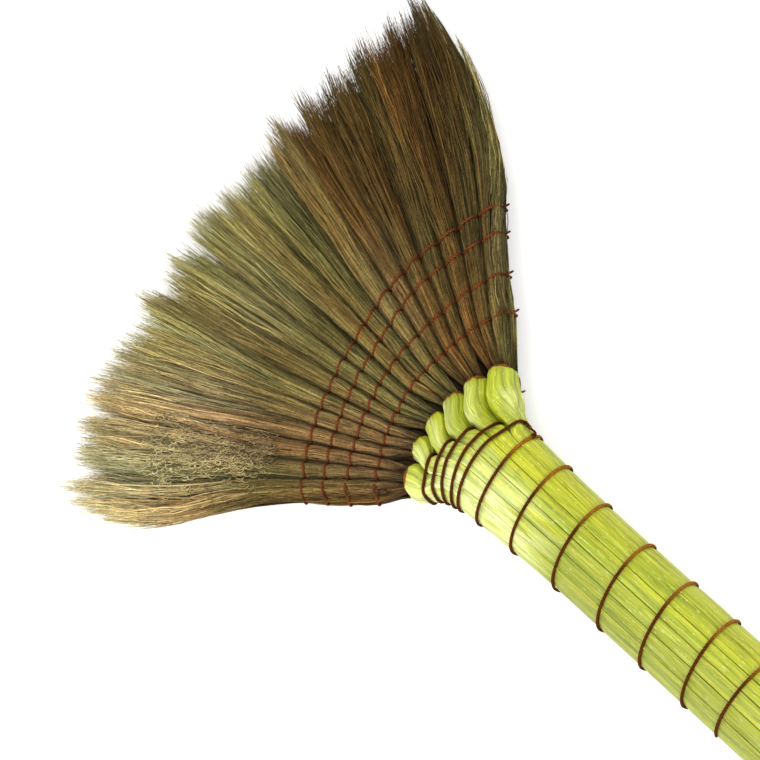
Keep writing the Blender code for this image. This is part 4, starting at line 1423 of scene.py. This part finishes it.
# half a turn: the outline of the held bundles, at stations that go evenly from one side to the other
# as a taut cord crosses it, moved out by reach. The stations come from a first pass at the mean one.
def halfTurn(held, sLeft, sRight, side, reach):
    ends = layPoint(np.array([-1.0, 2 * held / broom["bundles"] - 1.0]), np.array([sLeft, sRight]))
    across = unitRows(ends[1] - ends[0])
    low, high = (ends + shift[:2]) @ across
    corners = 90
    angles = [skinAngles(k, corners) for k in range(held)]
    stations = [np.full(corners, (sLeft + sRight) / 2)] * held
    for _ in range(3):
        points = [sectionPoints(k, stations[k], angles[k]) for k in range(held)]
        shares = [np.clip((p[:, :2] @ across - low) / (high - low), 0, 1) for p in points]
        stations = [mixed(sLeft, sRight, share) for share in shares]
    points = np.concatenate(points)
    w = points[:, :2] @ across
    chain = points[tautOver(w, points[:, 2], side)]
    way = wayAlong(chain)
    walk = np.linspace(0, way[-1], int(way[-1] / (0.7 * mm)))
    chain = np.stack([np.interp(walk, way, chain[:, i]) for i in range(3)], -1)
    tw, tz = np.gradient(chain[:, :2] @ across), np.gradient(chain[:, 2])
    size = np.hypot(tw, tz)
    push = reach * side
    chain[:, :2] += (-tz / size * push)[:, None] * across
    chain[:, 2] += tw / size * push
    return chain


# route: over the tops to the left edge, round it and back underneath, turn after turn
def handleRoute():
    reach = cord["radius"] - sleeve["pinch"][0] + 0.3 * mm
    path = []
    turns = turnTable()
    for turn, following in zip(turns, turns[1:] + [None]):
        held, right, left = turn
        path.append(halfTurn(held, left, right, 1, reach)[::-1])
        if following is not None:
            path.append(halfTurn(following[0], left, following[1], -1, reach))
    path = np.concatenate(path)
    kernel = np.ones(5) / 5
    return np.stack([np.convolve(path[:, i], kernel, "valid") for i in range(3)], -1)


# outward from the handle's axis, in its cross-section
def fromAxis(path):
    outward = path - np.array([shift[0], 0, axisZ])
    outward[:, 1] = 0
    return outward


def makeHandleCord():
    path = evenPath(handleRoute(), cord["step"])
    path[:, 2] = np.maximum(path[:, 2], cord["radius"] * 1.02)
    # painted backlight: the cord is lighter, to tan, over the top on the right of the grip, where the wrap
    # is yellow
    x, y = (path[:, 0] - shift[0]) / broom["gripHalf"][0], path[:, 1] - shift[1]
    fade = eased((x - 0.10) / 0.65) * eased((10 * mm - y) / (8 * mm)) * (path[:, 2] > axisZ)
    tone = 1 + fade[:, None] * np.array(cord["backlight"])
    makeCord("handleCord", path, fromAxis(path), cord, cordMaterial, "binding_cord", tone)


hitch = {
    "radius": 0.46 * mm,
    "phi": 0.42,  # where on the last bundle's section its tail runs
    "out": 1.0 * mm,
    "coil": (0.8 * mm, 0.75 * mm),  # half sizes
    "coilRise": 0.16 * mm,  # along the handle, for each radian
    "coilAngles": (2, 10),
}


# hitch: a short tail down the right edge that ends in a small coil of one and a quarter turns
def makeHitch():
    last = broom["bundles"] - 1
    s = np.linspace(neckTurns[-1][1] - 0.5 * mm, gripTurns["stations"][0] - 1 * mm, 8)
    places = [(hitch["phi"] + 0.1 * math.sin(i), value) for i, value in enumerate(s)]
    points = [routePoint(last, phi, value, hitch["out"]) for phi, value in places]
    a = np.linspace(*hitch["coilAngles"], 20)
    x, y = hitch["coil"][0] * np.cos(a), hitch["coilRise"] * a - 0.4 * mm
    coil = points[-1] + np.stack([x, y, hitch["coil"][1] * np.sin(a) + 0.5 * mm], -1)
    path = evenPath(np.concatenate([points, coil]), cord["step"])
    kind = dict(cord, radius=hitch["radius"])
    makeCord("hitchKnot", path, fromAxis(path), kind, cordMaterial, "hitch_cord")


# tie: a little over one and a half turns round the mouth of the sleeve
def makeTie(k):
    phi = np.linspace(0, tie["turns"] * 2 * math.pi, 70) + 0.5 + k
    s = tieAt(k) - 0.5 * mm + tie["length"] * (phi - phi[0]) / (phi[-1] - phi[0])
    points = sectionPoints(k, s, phi)
    middle = placed(layPoint(bundleMiddle(k), tieAt(k)), axisZ)
    points = points + unitRows(points - middle) * tie["out"]
    if k == broom["bundles"] - 1:  # its tail runs down the outer side, and the end stands out
        down = np.linspace(1, 0, 7)
        tail = [routePoint(k, mixed(-0.78, -0.15, t), s[0] - tie["tail"] * t, 0.4 * mm) for t in down]
        points = np.concatenate([[routePoint(k, -0.10, s[0] - 10 * mm, 2.4 * mm)], tail, points])
    path = evenPath(points, tie["step"])
    name, node = f"neckTie{k + 1}", f"neck_tie_{k + 1}"
    makeCord(name, path, path - middle, tie, threadMaterial, node)


# row: over the ribs from the right edge to the left, round it, and back under them
def makeRow(row):
    perRib = 9
    u = np.linspace(1.0, -1.0, broom["ribs"] * perRib + 1)
    lift = twine["radius"] * 0.75
    over = rowPlace(row, u, 1, lift)
    under = rowPlace(row, u[::-1], -1, lift)
    edgeLeft, edgeRight = rowEdge(row, -1), rowEdge(row, 1)
    tail = edgeRight[:3] + np.array([1.5 * mm, 1.2 * mm, -1.5 * mm]) * np.array([[0.2], [0.7], [1.5]])
    path = np.concatenate([tail[::-1], edgeRight[::-1][:2], over, edgeLeft, under, edgeRight[:2]])
    path = evenPath(path, twine["step"])
    radius = broom["rows"][row]
    middle = placed(rayPoint(np.zeros(1), np.array([radius])), fanHeight(0, radius))
    outward = np.zeros_like(path)
    outward[:, 2] = np.sign(path[:, 2] - middle[0, 2])
    outward[:, 0] = 0.35 * np.sign(path[:, 0]) * (np.abs(path[:, 0]) > 0.9 * np.abs(path[:, 0]).max())
    # painted highlight over the ribs and painted shade down in the creases
    place = path - shift + np.array([0, broom["poleDrop"], 0])
    line = np.arctan2(place[:, 0], place[:, 1]) / broom["spreads"][1]
    tone = mixed(1.35, 0.50, np.abs(acrossRib(line)) ** 2)[:, None] * np.ones(3)
    name, node = f"fanRow{row + 1}", f"stitch_row_{row + 1}"
    makeCord(name, path, outward, twine, twineMaterial, node, tone)


def rowPlace(row, u, face, lift):
    slant = 0.55 * mm * acrossRib(u) * (1 - np.abs(acrossRib(u)) ** 6)
    r = rowRadius(row, u) + slant + 0.35 * mm * waves(40 + row, u * 5)
    z = fanHeight(u, r) + face * (fanHalf(u, r) + lift)
    return placed(rayPoint(u + edgeOut(u, r), r), z)


def rowEdge(row, side):
    u = np.full(5, side * 1.0)
    r = rowRadius(row, u)
    angle = np.linspace(math.pi / 2, -math.pi / 2, 5)
    half = fanHalf(u, r) + twine["radius"] * 0.7
    u = u + edgeOut(u, r) + side * np.cos(angle) * 1.2 * mm / (r * broom["spreads"][1])
    return placed(rayPoint(u, r), fanHeight(u, r) + half * np.sin(angle))


makeHandleCord()
makeHitch()
for k in range(broom["bundles"]):
    makeTie(k)
for row in range(rowCount):
    makeRow(row)
print("cords made")

# Studio

studio = {
    "floorSize": 4.0,
    "floorColour": (0.86, 0.86, 0.86),
    "floorGlow": 0.38,
    "ambient": 0.55,
    "lamps": {
        "overhead": {"at": (-0.2, 0.1, 1.6), "size": 1.5, "power": 15.0},
        "leftSide": {"at": (-1.2, -0.5, 0.75), "size": 0.9, "power": 15.0},
        "rightEdge": {"at": (1.1, -0.25, 0.55), "size": 0.7, "power": 4.0},
        "front": {"at": (-0.2, -1.3, 1.0), "size": 1.0, "power": 5.0},
    },
}


def makeFloor():
    half = studio["floorSize"] / 2
    verts = np.array([[-half, -half, 0], [half, -half, 0], [half, half, 0], [-half, half, 0]])
    material, tree, shader = newMaterial("paleFloor", 0.9, Specular_IOR_Level=0.1)
    shader.inputs["Base Color"].default_value = (*studio["floorColour"], 1)
    rays = addNode(tree, "LightPath").outputs["Is Camera Ray"]
    glow = addNode(tree, "Emission", {"Color": (1, 1, 1, 1), "Strength": studio["floorGlow"]})
    dark = addNode(tree, "Emission", {"Color": (0, 0, 0, 1), "Strength": 0.0})
    seen = addNode(tree, "MixShader", {0: rays, 1: dark.outputs[0], 2: glow.outputs[0]})
    both = addNode(tree, "AddShader", {0: shader.outputs[0], 1: seen.outputs[0]})
    tree.links.new(both.outputs[0], tree.nodes["Material Output"].inputs["Surface"])
    floor = newPiece("paleFloor", verts, np.arange(4), np.array([4]), material)


def makeWorld():
    world = bpy.data.worlds.new("studioWorld")
    world.use_nodes = True
    tree = world.node_tree
    backdrop = tree.nodes["Background"]
    backdrop.inputs["Strength"].default_value = studio["ambient"]
    backdrop.inputs["Color"].default_value = (1, 1, 1, 1)
    path = addNode(tree, "LightPath")
    seen = path.outputs["Is Camera Ray"]
    for name in ("Is Glossy Ray", "Is Transmission Ray"):
        seen = addNode(tree, "Math", {0: seen, 1: path.outputs[name]}, operation="MAXIMUM").outputs[0]
    white = addNode(tree, "Background", {"Color": (1, 1, 1, 1), "Strength": 1.0})
    both = addNode(tree, "MixShader", {0: seen, 1: backdrop.outputs[0], 2: white.outputs[0]})
    tree.links.new(both.outputs[0], tree.nodes["World Output"].inputs["Surface"])
    bpy.context.scene.world = world


def makeLamps():
    for name, lamp in studio["lamps"].items():
        light = bpy.data.lights.new(name, "AREA")
        light.shape = "DISK"
        light.size = lamp["size"]
        light.energy = lamp["power"]
        obj = bpy.data.objects.new(name, light)
        obj.location = lamp["at"]
        toward = Vector((0, 0, 0.02)) - obj.location
        obj.rotation_euler = toward.to_track_quat("-Z", "Y").to_euler()
        bpy.context.scene.collection.objects.link(obj)


# camera: looks down on the broom from its handle's side, rolled so that the fan points up and left
view = {
    "target": (-4.7 * mm, 70.1 * mm, 18 * mm),
    "elevation": math.radians(65),
    "distance": 1.2,
    "roll": math.atan2(0.673, -0.74) - math.pi / 2,  # from the fan's direction in the picture
    "scale": 0.40 * mm,  # one pixel at the target
    "pixels": 760,  # across the picture
    "sensor": 36,
}


def makeCamera():
    tilt = view["elevation"]
    back = Vector((0, -math.cos(tilt), math.sin(tilt)))
    right, up = Vector((1, 0, 0)), Vector((0, math.sin(tilt), math.cos(tilt)))
    c, s = math.cos(-view["roll"]), math.sin(-view["roll"])
    rolledRight, rolledUp = right * c + up * s, up * c - right * s
    camera = bpy.data.cameras.new("photoView")
    camera.sensor_width = view["sensor"]
    camera.lens = view["sensor"] * view["distance"] / (view["scale"] * view["pixels"])
    obj = bpy.data.objects.new("photoView", camera)
    target = Vector(view["target"]) + Vector(shift)
    place = Matrix((rolledRight, rolledUp, back)).transposed().to_4x4()
    place.translation = target + back * view["distance"]
    obj.matrix_world = place
    bpy.context.scene.collection.objects.link(obj)
    bpy.context.scene.camera = obj


makeFloor()
makeWorld()
makeLamps()
makeCamera()
bpy.context.scene.view_settings.view_transform = "Standard"
print("studio made")
